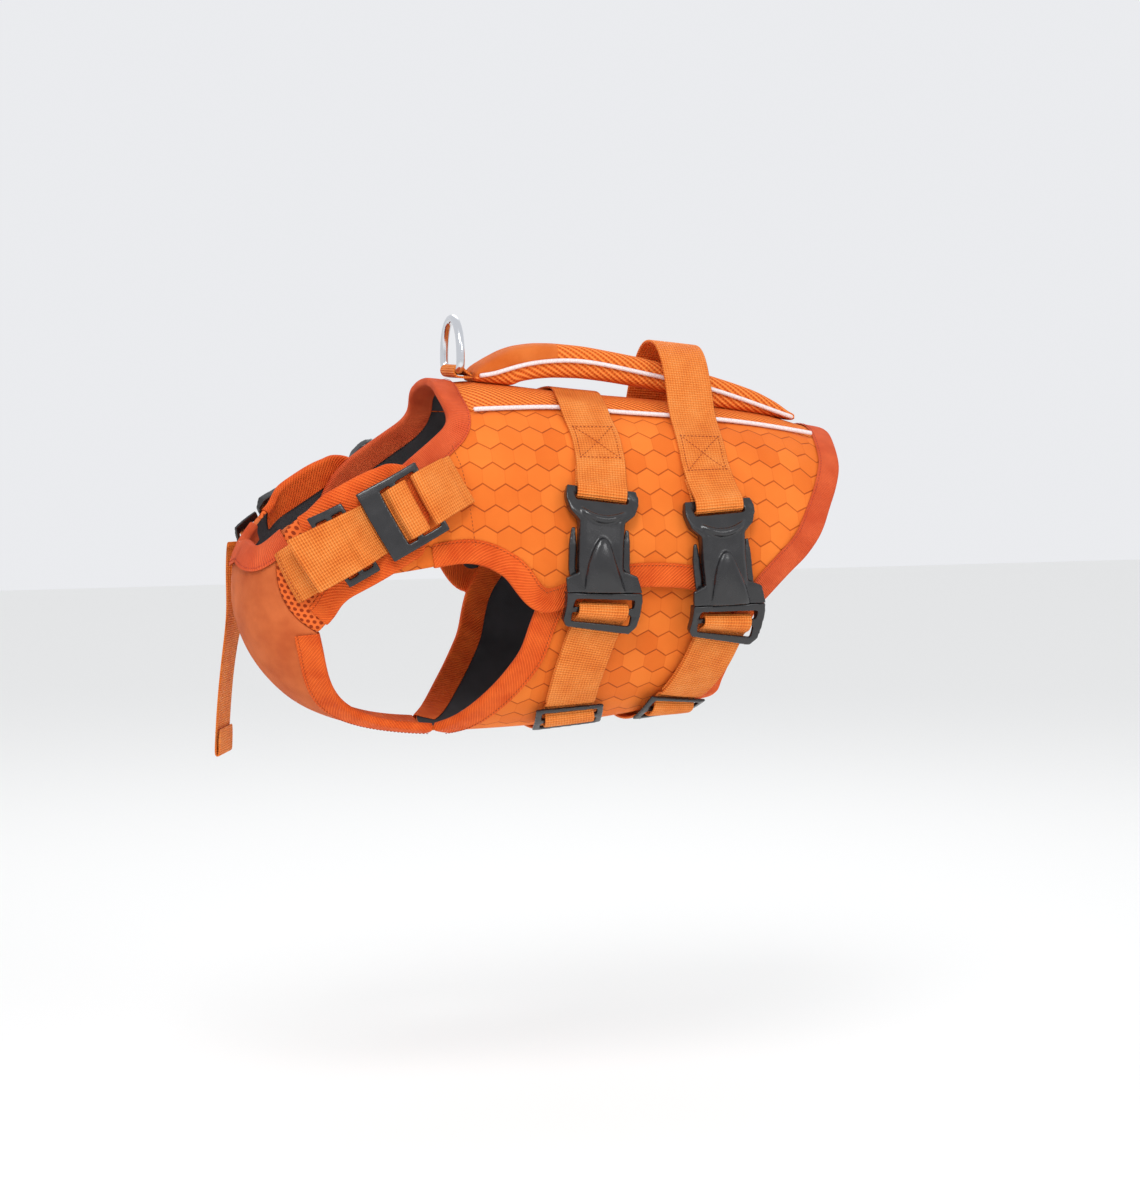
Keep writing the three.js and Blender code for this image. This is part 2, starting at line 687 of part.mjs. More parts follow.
function girthBase(t) {
  return 10.4 + 5.6 * smoothstep(t, -4, 32) - 4 * smoothstep(t, buckleSplit, 125);
}

// Open cells of a plate lie between its middle rows
const opening = (station, rows) => (
  Array.from({ length: rows - 3 }, (_, index) => [station, index + 1]));

function addBuckle(name, place, inside = []) {
  const across = (edge, half, low, high) => bothSides([edge, [half, low, high],
    ...inside.map((part) => [half * part, low, high])]);
  const rows = across([1, 0, 0], 1, 0, 1).length;
  const ears = [32.6, 1.5, 10.4];
  const flank = [20, 0.6, 10.6];
  addJoined(`${name}_female`, [
    solidOf(plate(place, [
      [topBar.start, across([31, 2.4, 8.6], barEdge, topBar.low, topBar.high - 0.2)],
      [topBar.end, across(ears, barEdge, topBar.low, topBar.high)],
      [13, across(ears, barEdge, 0, 9)],
      [22, across([29, 0.8, 10.8], barEdge, 0, bodyHigh - 1)],
      [29, across([20.4, 0.6, 10.6], 16, 0, bodyHigh)],
      [46, across(flank, 16, 0, bodyHigh)],
      [64, across(flank, 16, 0, bodyHigh)],
      [buckleSplit, across([20, 0.6, 11], 16, 0, bodyHigh)],
    ], opening(1, rows))),
    block(place, [[68, 22, 7.2, 11], [72, 32, 7, 11.4], [buckleSplit, frameHalf, 7, 11.8]],
      [-1, ...inside.map((part) => -part), ...inside.toReversed(), 1]),
  ], looks.black);
  const male = buckleSplit + seamGap;
  const prong = (side) => block(place, [[34, 1.6, 2.6, 5], [46, 3.2, 1.8, 6], [64, 3.2, 1.8, 6],
    [male + 3, 3.3, 1.8, 6]], [-1, 1], side);
  const frame = (t, edge, low, high) => [t, across(edge, frameInner, low, high)];
  addJoined(`${name}_male`, [
    solidOf(plate(place, [
      frame(male, [frameHalf, 0.8, 11], 0.8, 11.6),
      frame(90.5, [frameHalf, 0.8, 10.8], 0.8, 11.6),
      frame(innerBar.start, [frameHalf, 0.8, 10], innerBar.low, innerBar.high),
      frame(innerBar.end, [frameHalf, 0.8, 9.8], innerBar.low, innerBar.high),
      frame(endBar.start, [33.6, 1.4, 9.6], endBar.low, endBar.high),
      frame(endBar.end, [29, 4, 8.6], endBar.low, 9),
    ], [...opening(1, rows), ...opening(3, rows)])),
    prong(-prongAcross), prong(prongAcross),
  ], looks.black);
}

const sliderBar = { half: 2.4, end: 11, length: 14.5, low: 8, high: 11.4 };

function addBarFrame(name, place, { low, high, stations, edge, inner }, inside = []) {
  const rows = bothSides([[edge, low + 0.4, high - 0.4], [inner, low, high],
    ...inside.map((part) => [inner * part, low, high])]);
  const open = stations.flatMap((_, index) => (index % 2 ? opening(index, rows.length) : []));
  const { points, triangles } = plate(place, stations.map((t) => [t, rows]),
    open.filter(([station]) => station < stations.length - 1));
  addBody(name, points, triangles, looks.black);
}

function addSlider(name, place, lift = 0, inside = []) {
  const { half, end, length, low, high } = sliderBar;
  addBarFrame(name, place, { low: low + lift, high: high + lift,
    stations: [-length, -end, -half, half, end, length], edge: 31, inner: 25 }, inside);
}

// A web's way over a slider's centre bar, and around a buckle's top and inner bar
const overSlider = (at, low) => [[at - 16, low], [at - 9.6, low], [at - 5, low + 7.8],
  [at + 5, low + 7.8], [at + 9.6, low], [at + 16, low]];

const aroundTopBar = (at, low, raise = 0) => [[at - 34, low], [at - 24, low + 3],
  [at - 8, low + 4.8 + raise / 2], [at + 0.5, 20.8 + raise], [at + 5.5, 21.8 + raise],
  [at + 9.2, 21.2 + raise], [at + 10.8, 17.4 + raise], [at + 9.4, 13.9 + raise],
  [at + 5, 12.3 + raise], [at - 8, 11.6 + raise / 2], [at - 19, low]];

const aroundInnerBar = (at, end, low, raise = 0) => [[end, low], [at + 129, low + 3 + raise / 2],
  [at + 120, 11.6 + raise], [at + 111, 12.5 + raise], [at + 101, 15.6 + raise],
  [at + 96, 17.6 + raise], [at + 95.2, 20.6 + raise], [at + 96.6, 23.8 + raise],
  [at + 100.5, 25.3 + raise], [at + 105.2, 23.2 + raise], [at + 108.8, 17.4 + raise],
  [at + 113, 15.5 + raise], [at + 120, 14.6 + raise], [at + 129, low + 6 + raise / 2],
  [end, low + 3]];

const straps = {
  front: {
    route: [[5.75, 0], [5.7, 12], [5.66, 26.1], [5.87, 43], [5.95, 57], [5.97, 64.5], [6.08, 86],
      [6.24, 99.8], [6.25, 113.7], [6.25, 124.8], [6.3, 138.5], [6.4, 155], [6.45, 180]],
    buckleTurn: 61.8,
    sliderTurn: 148,
    overBack: [[0, 9.8], [14, 9.8], [28, 9.9], [38, 11], [46, 13.2], [56, 13.2], [66, 10.8]],
    low: boundThick + onPanel + 0.4,
    topRaise: 0,
  },
  rear: {
    route: [[7.17, 0], [7.2, 15], [7.24, 28.7], [7.28, 54], [7.36, 65.8], [7.44, 87.7],
      [7.57, 107], [7.53, 122.9], [7.45, 136.4], [7.35, 151.6], [7.3, 180]],
    buckleTurn: 65.5,
    sliderTurn: 151,
    overBack: [[0, 60], [8, 58.5], [16, 53], [25, 43], [35, 31], [44, 21], [52, 14.5], [64, 10.8]],
    low: boundThick + clear + tapeThick + onPanel + 0.4,
    topRaise: 0.5,
  },
};

for (const [name, strap] of Object.entries(straps)) {
  const { route, buckleTurn, sliderTurn, overBack, low, topRaise } = strap;
  const nearSpine = route.filter(([, turn]) => turn > 0 && turn < 125).toReversed();
  const track = makeTrack([...nearSpine, ...mirrored(route),
    ...acrossBelly(mirrored(route)).toReversed().slice(1).filter(([, turn]) => turn > -340)]);
  const spine = track.mark(0);
  const belly = track.mark(-180);
  const leftStart = track.mark(-buckleTurn);
  const rightStart = 2 * belly - leftStart;
  const reach = leftStart - spine;
  const loop = aroundTopBar(reach, sideFoam + onPanel, topRaise);
  const halfUpper = [...overBack, ...loop.filter(([s]) => s > overBack.at(-1)[0] + 4), loop.at(-1)]
    .filter((step, index, all) => all.indexOf(step) === index);
  addWeb(`${name}_girth_web_upper`, track, [
    ...halfUpper.slice(1).toReversed().map(([s, high]) => [spine - s, high]),
    ...halfUpper.map(([s, high]) => [spine + s, high]),
  ]);
  addBuckle(`${name}_buckle_left`, (t, across, z) => (
    track.at(leftStart + t, across, girthBase(t) + z)));
  addBuckle(`${name}_buckle_right`, (t, across, z) => (
    track.at(rightStart - t, across, girthBase(t) + z)));
  const slider = track.mark(-sliderTurn);
  const halfLower = [...aroundInnerBar(0, slider - leftStart - 18, low),
    ...overSlider(slider - leftStart, low)];
  const belowBelly = 2 * (belly - leftStart);
  addWeb(`${name}_girth_web_lower`, track, [...halfLower, [belly - leftStart, low],
    ...halfLower.toReversed().map(([s, high]) => [belowBelly - s, high])]
    .map(([s, high]) => [leftStart + s, high]));
  const rise = low - boundThick - onPanel + 0.4;
  addSlider(`${name}_slider_left`, (t, across, z) => track.at(slider + t, across, z), rise);
  addSlider(`${name}_slider_right`, (t, across, z) => (
    track.at(2 * belly - slider - t, across, z)), rise);
}

// Shoulder straps, from the side panel's front seam over the pad to the chest seam
function straightRoute(start, end, count) {
  const spots = [start];
  const target = form(end, 0);
  for (let index = 0; index < count - 1; index += 1) {
    const spot = spots.at(-1);
    const way = target.clone().sub(form(spot, 0)).projectOnPlane(outward(spot));
    spots.push(moved(spot, way.divideScalar(count - index)));
  }
  return [...spots, end];
}
const shoulderRoute = straightRoute([3.5, -64.5], [1.7, -134], 9);
const shoulderRows = [-1, -0.4, 0.4, 1];
const padTop = padRise + boundThick;
const onPad = padTop + onPanel;
const lockBar = { low: 19.4, high: 23.4, stations: [-27, -22, -5, 0, 9, 27], edge: 31, inner: 24.5 };
const shoulderInside = [0.4];
const foldHigh = 29;
const seamEnd = 8.6;

const left = makeTrack(shoulderRoute);
const lock = 62;
const hidden = 116;
const foldEnd = 150;
addWeb("shoulder_web_rear_left", left, [[2, 11], [12, 11.4], [lock - 42, 14.4], [lock - 32, 17],
  [lock - 24, 17.2], [lock - 20, 18], [lock - 19, 21.4], [lock - 20.4, 25], [lock - 24, 26],
  [lock - 32, 23], [lock - 42, 18.6], [lock - 52, 15.4]], shoulderRows);
addBarFrame("shoulder_ladder_lock_left", (t, across, z) => left.at(lock + t, across, z), lockBar,
  shoulderInside);
addWeb("shoulder_web_folded_left", left, [[lock - 13, 21.4], [lock - 9, 24.9], [lock - 1, 25.4],
  [lock + 3.4, 23.4], [lock + 5, 19.4], [lock + 8.4, 17.2], [lock + 26, 17], [lock + 34, 19],
  [hidden - 10, foldHigh - 0.4], [hidden - 4, foldHigh - 2.4], [hidden + 2, foldHigh],
  [foldEnd - 3, foldHigh], [foldEnd - 0.6, foldHigh - 0.6], [foldEnd, foldHigh - 1.8],
  [foldEnd - 0.6, foldHigh - 3], [foldEnd - 3, foldHigh - 3.6], [hidden + 6, foldHigh - 3.6]],
shoulderRows);
addSlider("shoulder_slider_left", (t, across, z) => left.at(hidden + t, across, z), padRise + 1,
  shoulderInside);
addWeb("shoulder_web_chest_left", left, [...overSlider(hidden, onPad + 0.8).slice(1),
  [foldEnd, 12.8], [left.length - 4, seamEnd]], shoulderRows);

const rightAt = (s, across, high) => {
  const point = left.at(s, across, high);
  return point.setY(-point.y);
};
const rightTrack = { at: rightAt };
const shoulderStart = 12;
const shoulderBase = 17;
const shoulderRaise = 5.9;
const nearSlider = left.length - 27;
const nearRise = 7.8;
addBuckle("shoulder_buckle_right", (t, across, z) => (
  rightAt(shoulderStart + t, across, shoulderBase + z)), shoulderInside);
addWeb("shoulder_web_rear_right", rightTrack,
  aroundTopBar(shoulderStart, 11.6, shoulderRaise).slice(2, -1), shoulderRows);
addWeb("shoulder_web_chest_right", rightTrack, [
  ...aroundInnerBar(shoulderStart, nearSlider, 10, 2.8).slice(2, -2),
  [nearSlider - 14, 13.4], [nearSlider - 9.6, 12.8], [nearSlider - 5, 21.9], [nearSlider + 5, 21.9],
  [nearSlider + 9.6, 11.4], [left.length - 4, seamEnd]], shoulderRows);
addSlider("shoulder_slider_right", (t, across, z) => rightAt(nearSlider + t, across, z), nearRise,
  shoulderInside);

// The right shoulder's tail lies over its slider and hangs free in front of the chest. It
// turns as it falls, and its end is folded back and sewn.
const tailSteps = [
  { out: 0, z: 16, drift: 0, twist: 0 }, { out: 0.8, z: -14, drift: 1, twist: 0 },
  { out: 5, z: -34, drift: 3, twist: 18 }, { out: 9, z: -56, drift: 6, twist: 30 },
  { out: 14, z: -90, drift: 11, twist: 33 }, { out: 17, z: -130, drift: 16, twist: 33 },
  { out: 18, z: -164, drift: 20, twist: 33 }, { out: 18, z: -172, drift: 21, twist: 33 },
  { out: 17.4, z: -174, drift: 21, twist: 33 }, { out: 16.2, z: -174.6, drift: 21, twist: 33 },
  { out: 15, z: -173.6, drift: 21, twist: 33 }, { out: 14.8, z: -172, drift: 21, twist: 33 },
  { out: 14.6, z: -150, drift: 18.5, twist: 33 },
];
{
  const upwards = new THREE.Vector3(0, 0, 1);
  const start = rightAt(nearSlider + 8, 0, 24);
  const outwards = start.clone().sub(rightAt(nearSlider + 8, 0, 0)).setZ(0).normalize();
  const across = new THREE.Vector3(outwards.y, -outwards.x, 0);
  const sides = webSides(tailSteps.map(({ out, z }) => [out, z]));
  addStrip("shoulder_tail_right", sides.map((pair, index) => {
    const { drift, twist } = tailSteps[index];
    const facing = outwards.clone().applyAxisAngle(upwards, twist * radians);
    const sideways = across.clone().applyAxisAngle(upwards, twist * radians);
    const [outer, inner] = pair.map(([out, z]) => [-1, 1].map((part) => start.clone()
      .addScaledVector(facing, out)
      .addScaledVector(sideways, part * webWidth / 2 - drift)
      .addScaledVector(upwards, z)));
    return { outer, inner };
  }), looks.web);
}

// The padded handle on the spine, with piping along both sides
function spineTop(x) {
  let [from, to] = [0, girthLines.length - 1];
  for (let count = 0; count < 30; count += 1) {
    const middle = (from + to) / 2;
    if (girthLine(middle).topX < x) from = middle;
    else to = middle;
  }
  return girthLine(from).topZ + spineFoam + clear + 0.3;
}
const onMesh = -100;
const handleSides = [
  { x: -143, top: 30, low: onMesh }, { x: -138, top: 36, low: onMesh },
  { x: -126, top: 43, low: onMesh }, { x: -112, top: 50, low: onMesh },
  { x: -100, top: 53.6, low: 21.5 }, { x: -84, top: 55.6, low: 24 },
  { x: -67, top: 55.5, low: 25 }, { x: -38, top: 52.7, low: 24 },
  { x: -12, top: 48, low: 20.6 }, { x: 16, top: 42.6, low: 16 },
  { x: 45, top: 35.6, low: 9.5 }, { x: 64, top: 31, low: 4.8 },
  { x: 80, top: 26.8, low: onMesh }, { x: 104, top: 19.6, low: onMesh },
  { x: 127, top: 11.7, low: onMesh }, { x: 146, top: 2, low: onMesh },
  { x: 157, top: -6, low: onMesh }, { x: 163, top: -9, low: onMesh },
];
const handleRows = [-1, -0.6, 0.6, 1];
addStrip("handle", handleSides.map(({ x, top, low }) => {
  const under = Math.max(low, spineTop(x));
  const edge = Math.min(4, (top - under) / 4);
  const point = (row, high, way) => new THREE.Vector3(x, row * handleHalfWidth,
    high + (Math.abs(row) === 1 ? way * edge : 0));
  return {
    outer: handleRows.map((row) => point(row, top, -1)),
    inner: handleRows.map((row) => point(row, under, 1)),
  };
}), looks.smoothCloth);

const handlePiping = [[-139, 27.5], [-126, 29], [-115, 32.5], [-100, 36.5], [-84, 39.4], [-56, 41.1],
  [-30, 38], [-8, 33.5], [30, 25.2], [54, 20.4], [78, 14.7], [112, 4], [144, -7.4], [158, -12]];
for (const [side, across] of [["left", -1], ["right", 1]]) {
  const distance = handleHalfWidth + seamGap + 0.9 * pipingRadius;
  const path = handlePiping.map(([x, z]) => new THREE.Vector3(x, across * distance, z));
  addTube(`handle_piping_${side}`, path.map((at, index) => {
    const way = path[Math.min(path.length - 1, index + 1)].clone()
      .sub(path[Math.max(0, index - 1)]).normalize();
    const sideways = new THREE.Vector3(0, 1, 0);
    return { at, across: sideways, up: way.clone().cross(sideways).normalize() };
  }), pipingRadius, looks.reflective, 6);
}

// The D-ring turns about its straight bar in a webbing tab
const ringAt = new THREE.Vector3(-158, 0, 31.5);
const ringSide = [[20.5, 0], [ringHalfWidth - 0.4, 4], [ringHalfWidth, 14], [23.6, 26], [18.5, 37],
  [10, 44.4]];
const ringOutline = [[0, 0], ...ringSide, [0, ringHeight - ringWire],
  ...ringSide.toReversed().map(([y, z]) => [-y, z])];
const ringHinge = new THREE.Group();
ringHinge.name = "d_ring_hinge";
ringHinge.position.copy(ringAt);
jacket.add(ringHinge);
{
  const forward = new THREE.Vector3(1, 0, 0);
  const centres = ringOutline.map(([y, z]) => new THREE.Vector3(0, y, z));
  const sections = centres.map((at, index) => {
    const way = centres[(index + 1) % centres.length].clone()
      .sub(centres[(index + centres.length - 1) % centres.length]).normalize();
    const side = way.clone().cross(forward);
    const point = (corner) => {
      const angle = (corner + 0.5) * Math.PI / 4;
      return at.clone().addScaledVector(forward, ringWire * Math.cos(angle))
        .addScaledVector(side, ringWire * Math.sin(angle));
    };
    return {
      outer: [0, 1, 2, 3].map(point),
      inner: [7, 6, 5, 4].map(point),
    };
  });
  const { points, triangles } = stripBody(sections, true);
  addBody("d_ring", points, triangles, looks.chrome, ringHinge);
}

const tabPath = [[13, -5.9], [6, -5.5], [0, -5.1], [-3.2, -4], [-5.1, 0], [-3.6, 3.6], [0, 5.1],
  [3.6, 3.4], [7, -1], [13, -4.2]];
{
  const sections = webSides(tabPath).map((sides) => {
    const [outer, inner] = sides.map(([x, z]) => [-1, 1].map((part) => (
      ringAt.clone().add(new THREE.Vector3(x, part * tabHalfWidth, z)))));
    return { outer, inner };
  });
  addStrip("d_ring_tab", sections, looks.web);
}

export default jacket;
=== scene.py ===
import math
import bmesh
import bpy
import numpy as np
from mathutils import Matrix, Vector, kdtree, noise


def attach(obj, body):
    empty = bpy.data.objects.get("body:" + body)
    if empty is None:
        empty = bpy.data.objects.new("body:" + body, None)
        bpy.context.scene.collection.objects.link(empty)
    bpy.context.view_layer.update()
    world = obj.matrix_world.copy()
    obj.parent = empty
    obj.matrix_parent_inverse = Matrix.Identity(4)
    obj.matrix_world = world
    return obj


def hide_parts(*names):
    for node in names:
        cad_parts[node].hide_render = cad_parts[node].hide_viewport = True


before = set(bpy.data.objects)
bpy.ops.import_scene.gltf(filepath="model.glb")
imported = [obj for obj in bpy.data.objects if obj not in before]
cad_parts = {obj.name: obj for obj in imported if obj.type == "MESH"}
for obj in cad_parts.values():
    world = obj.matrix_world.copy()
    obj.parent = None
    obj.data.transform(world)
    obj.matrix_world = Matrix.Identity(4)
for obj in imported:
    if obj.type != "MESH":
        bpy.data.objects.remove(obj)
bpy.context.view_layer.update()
mm = 0.001


# Side panels
# Each side is a sheet of closed-cell foam in a sleeve of hexagon-patterned orange cloth with a
# dark grey lining. It is cut and padded to a round side, so its form is a fan of girth lines, as in
# the CAD source, and a spot is a girth line and a turn in degrees from the spine.
# Columns: x and z of the line's top, x and z of its low point, and half its width
girth_lines = np.array([
    (-180, 20, -338, -112, 74),
    (-168, 19, -352, -140, 81),
    (-155, 17, -350, -185, 87),
    (-138, 15, -328, -229, 93),
    (-112, 12, -283, -264, 98),
    (-80, 8, -205, -282, 102),
    (-35, 3, -110, -283, 105),
    (30, -3, -10, -276, 106),
    (110, -13, 90, -258, 102),
    (205, -30, 200, -232, 94),
], float)
back_roundness = 2.05
belly_roundness = 2.35
belly_taper = 0.06
degrees_per_line = 30
bound_thick = 4
side_foam = 9
side_rise = 9


def unit(vectors):
    return vectors / np.maximum(1e-9, np.linalg.norm(vectors, axis=-1, keepdims=True))


def dot(first, second):
    return (first * second).sum(axis=-1)


def smoothstep(value, start, end):
    part = np.clip((np.asarray(value, float) - start) / (end - start), 0, 1)
    return part * part * (3 - 2 * part)


def girth_line(line):
    last = len(girth_lines) - 1
    kept = np.clip(line, 0, last)
    index = np.minimum(last - 1, np.floor(kept)).astype(int)
    part = (kept - index)[..., None]
    start = girth_lines[index]
    end = girth_lines[index + 1]
    first = (index == 0)[..., None]
    final = (index + 2 > last)[..., None]
    before = np.where(first, 2 * start - end, girth_lines[np.maximum(index - 1, 0)])
    after = np.where(final, 2 * end - start, girth_lines[np.minimum(index + 2, last)])
    start_slope = (end - before) / 2
    end_slope = (after - start) / 2
    square = part * part
    cube = square * part
    return ((2 * cube - 3 * square + 1) * start + (cube - 2 * square + part) * start_slope
            + (3 * square - 2 * cube) * end + (cube - square) * end_slope
            + (line - kept)[..., None] * (end - start))


def bare(spots):
    top_x, top_z, low_x, low_z, half = np.moveaxis(girth_line(spots[..., 0]), -1, 0)
    upward = np.cos(np.radians(spots[..., 1]))
    sideward = np.sin(np.radians(spots[..., 1]))
    power = np.where(upward > 0, back_roundness, belly_roundness)
    reach = (np.abs(upward) ** power + np.abs(sideward) ** power) ** (-1 / power)
    up = reach * upward
    wide = reach * sideward * (1 + belly_taper * (up - 0.3))
    return np.stack([(top_x + low_x) / 2 + up * (top_x - low_x) / 2, wide * half,
                     (top_z + low_z) / 2 + up * (top_z - low_z) / 2], axis=-1)


def slopes(spots):
    by_line = (bare(spots + (0.02, 0)) - bare(spots - (0.02, 0))) / 0.04
    by_turn = bare(spots + (0, 0.5)) - bare(spots - (0, 0.5))
    return by_line, by_turn


def outward(spots):
    by_line, by_turn = slopes(spots)
    return -unit(np.cross(by_turn, by_line))


def form(spots, out):
    return bare(spots) + outward(spots) * np.asarray(out, float)[..., None]


def moved(spots, moves):
    count = max(1, math.ceil(np.linalg.norm(moves, axis=-1).max() / 6))
    for _ in range(count):
        by_line, by_turn = slopes(spots)
        line_line = dot(by_line, by_line)
        line_turn = dot(by_line, by_turn)
        turn_turn = dot(by_turn, by_turn)
        along_line = dot(moves / count, by_line)
        along_turn = dot(moves / count, by_turn)
        scale = line_line * turn_turn - line_turn * line_turn
        spots = spots + np.stack([(along_line * turn_turn - along_turn * line_turn) / scale,
                                  (along_turn * line_line - along_line * line_turn) / scale], axis=-1)
    return spots


# The spots that lie under points, from the nearest of a coarse set and a few corrections
coarse = np.array([(line / 8, turn) for line in range(-6, 80) for turn in range(-180, 180, 4)], float)
finder = kdtree.KDTree(len(coarse))
for index, point in enumerate(bare(coarse)):
    finder.insert(point, index)
finder.balance()


def spots_under(points):
    spots = np.array([coarse[finder.find(point)[1]] for point in points])
    for _ in range(8):
        away = points - bare(spots)
        normal = outward(spots)
        spots = moved(spots, away - normal * dot(away, normal)[..., None])
    return spots


# Flat places on the cloth: along the back, and round the girth or down the chest
def flat_places(points, way, beyond_belly):
    spots = spots_under(points)
    if beyond_belly:
        spots[:, 1] = np.where(spots[:, 1] > 0, spots[:, 1] - 360, spots[:, 1])
    parts = np.linspace(0, 1, 25)[:, None]
    if way == "girth":
        run = bare(np.stack([spots[:, 0] + 0 * parts, spots[:, 1] * parts], axis=-1))
        steps = np.linalg.norm(np.diff(run, axis=0)[..., 1:], axis=-1)
        return np.stack([points[:, 0], steps.sum(axis=0) * np.sign(spots[:, 1])], axis=-1) * mm
    run = bare(np.stack([spots[:, 0] * parts, spots[:, 1] + 0 * parts], axis=-1))
    steps = np.linalg.norm(np.diff(run, axis=0)[..., ::2], axis=-1)
    return np.stack([points[:, 1], steps.sum(axis=0) * np.sign(spots[:, 0])], axis=-1) * mm


def link_object(name, mesh):
    piece = bpy.data.objects.new(name, mesh)
    bpy.context.scene.collection.objects.link(piece)
    for polygon in mesh.polygons:
        polygon.use_smooth = True
    return piece


def lay_uv(mesh, places):
    layer = mesh.uv_layers.get("UVMap") or mesh.uv_layers.new(name="UVMap")
    corners = np.empty(len(mesh.loops), int)
    mesh.loops.foreach_get("vertex_index", corners)
    layer.uv.foreach_set("vector", np.asarray(places)[corners].ravel())


def points_of(mesh):
    points = np.empty(len(mesh.vertices) * 3)
    mesh.vertices.foreach_get("co", points)
    return points.reshape(-1, 3) / mm


def subdivide(piece, levels):
    modifier = piece.modifiers.new("subdivision", "SUBSURF")
    modifier.levels = levels
    modifier.render_levels = levels
    modifier.uv_smooth = "PRESERVE_BOUNDARIES"


# A copy of a CAD node with its triangles merged to quads and its sharp rims kept by creases
def quads_of(node, name, crease=0.6, rim_angle=50):
    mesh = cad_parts[node].data.copy()
    mesh.materials.clear()
    body = bmesh.new()
    body.from_mesh(mesh)
    bmesh.ops.remove_doubles(body, verts=body.verts, dist=0.02 * mm)
    bmesh.ops.join_triangles(body, faces=body.faces, angle_face_threshold=math.radians(28),
                             angle_shape_threshold=math.radians(60))
    layer = body.edges.layers.float.get("crease_edge") or body.edges.layers.float.new("crease_edge")
    for edge in body.edges:
        if edge.is_manifold and edge.calc_face_angle() > math.radians(rim_angle):
            edge[layer] = crease
    body.to_mesh(mesh)
    body.free()
    mesh.name = name
    return link_object(name, mesh)


def dress(piece, node, body="jacket"):
    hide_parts(node)
    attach(piece, body)


# Faces turned inwards take the lining, the piece's second material
def line_inside(piece, spots):
    mesh = piece.data
    away = outward(spots)
    for polygon in mesh.polygons:
        facing = np.mean([away[index] for index in polygon.vertices], axis=0)
        if Vector(facing).dot(polygon.normal) < -0.4:
            polygon.material_index = 1


def tint(red, green, blue):
    parts = [part / 255 for part in (red, green, blue)]
    return tuple(part / 12.92 if part < 0.04045 else ((part + 0.055) / 1.055) ** 2.4
                 for part in parts) + (1.0,)


def start_material(name, colour, roughness, gloss=0.2):
    material = bpy.data.materials.new(name)
    material.use_nodes = True
    tree = material.node_tree
    shader = tree.nodes["Principled BSDF"]
    shader.inputs["Base Color"].default_value = colour
    shader.inputs["Roughness"].default_value = roughness
    shader.inputs["Specular IOR Level"].default_value = gloss
    return material, tree, shader


# A node with its values in the order of its sockets, or in pairs of a socket's label and a value
def add_node(tree, kind, *values, out=0, named=(), **settings):
    node = tree.nodes.new(kind)
    for key, value in settings.items():
        setattr(node, key, value)
    given = list(zip(node.inputs, values)) + [(node.inputs[label], value) for label, value in named]
    for socket, value in given:
        if isinstance(value, bpy.types.NodeSocket):
            tree.links.new(value, socket)
        elif value is not None:
            socket.default_value = value
    return node.outputs[out]


def sums(tree, operation, *values):
    return add_node(tree, "ShaderNodeMath", *values, operation=operation)


def vectors(tree, operation, *values, out=0):
    return add_node(tree, "ShaderNodeVectorMath", *values, operation=operation, out=out)


def cloth_places(tree):
    return add_node(tree, "ShaderNodeUVMap", uv_map="UVMap")


# A wave from -1 to 1 along a direction on the cloth
def ribs(tree, places, across, along, pitch):
    turns = 2 * math.pi / pitch
    size = math.hypot(across, along)
    phase = vectors(tree, "DOT_PRODUCT", places, (turns * across / size, turns * along / size, 0), out=1)
    return sums(tree, "SINE", phase)


def plain_weave(tree, places, pitch):
    return sums(tree, "MULTIPLY", ribs(tree, places, 1, 0, pitch), ribs(tree, places, 0, 1, pitch))


def blotches(tree, size, detail=2.0):
    place = add_node(tree, "ShaderNodeTexCoord", out=3)
    return add_node(tree, "ShaderNodeTexNoise", place, None, 1 / size, detail)


def ramp(tree, shader, factor, stops):
    node = tree.nodes.new("ShaderNodeValToRGB")
    tree.links.new(factor, node.inputs[0])
    while len(node.color_ramp.elements) < len(stops):
        node.color_ramp.elements.new(0.5)
    for element, (position, colour) in zip(node.color_ramp.elements, stops):
        element.position = position
        element.color = colour
    tree.links.new(node.outputs[0], shader.inputs["Base Color"])


def emboss(tree, shader, height, depth):
    node = tree.nodes.new("ShaderNodeBump")
    node.inputs["Strength"].default_value = 1.0
    node.inputs["Distance"].default_value = depth
    tree.links.new(height, node.inputs["Height"])
    tree.links.new(node.outputs[0], shader.inputs["Normal"])


# Each point's place in its own hexagon, and a number for the hexagon. Its flat sides are upright.
def hexagons(tree, places, width):
    half = (width / 2, width * math.sqrt(3) / 2, 0)
    low = tuple(-part for part in half)
    first = vectors(tree, "WRAP", places, half, low)
    second = vectors(tree, "WRAP", vectors(tree, "SUBTRACT", places, half), half, low)
    nearer = sums(tree, "LESS_THAN", vectors(tree, "LENGTH", first, out=1),
                  vectors(tree, "LENGTH", second, out=1))
    mixed = add_node(tree, "ShaderNodeMix", nearer, None, None, None, second, first, data_type="VECTOR",
                     out=1)
    middle = vectors(tree, "ADD", vectors(tree, "SUBTRACT", places, mixed), (half[0] / 2, half[1] / 2, 0))
    steady = vectors(tree, "SNAP", middle, (half[0], half[1], 1))
    number = add_node(tree, "ShaderNodeTexWhiteNoise", steady, noise_dimensions="2D")
    return mixed, number


# A line where a distance from a side falls under a width
def line_mask(tree, distance, width):
    return add_node(tree, "ShaderNodeMapRange", distance, 0.3 * width, width, 1.0, 0.0,
                    interpolation_type="SMOOTHSTEP")


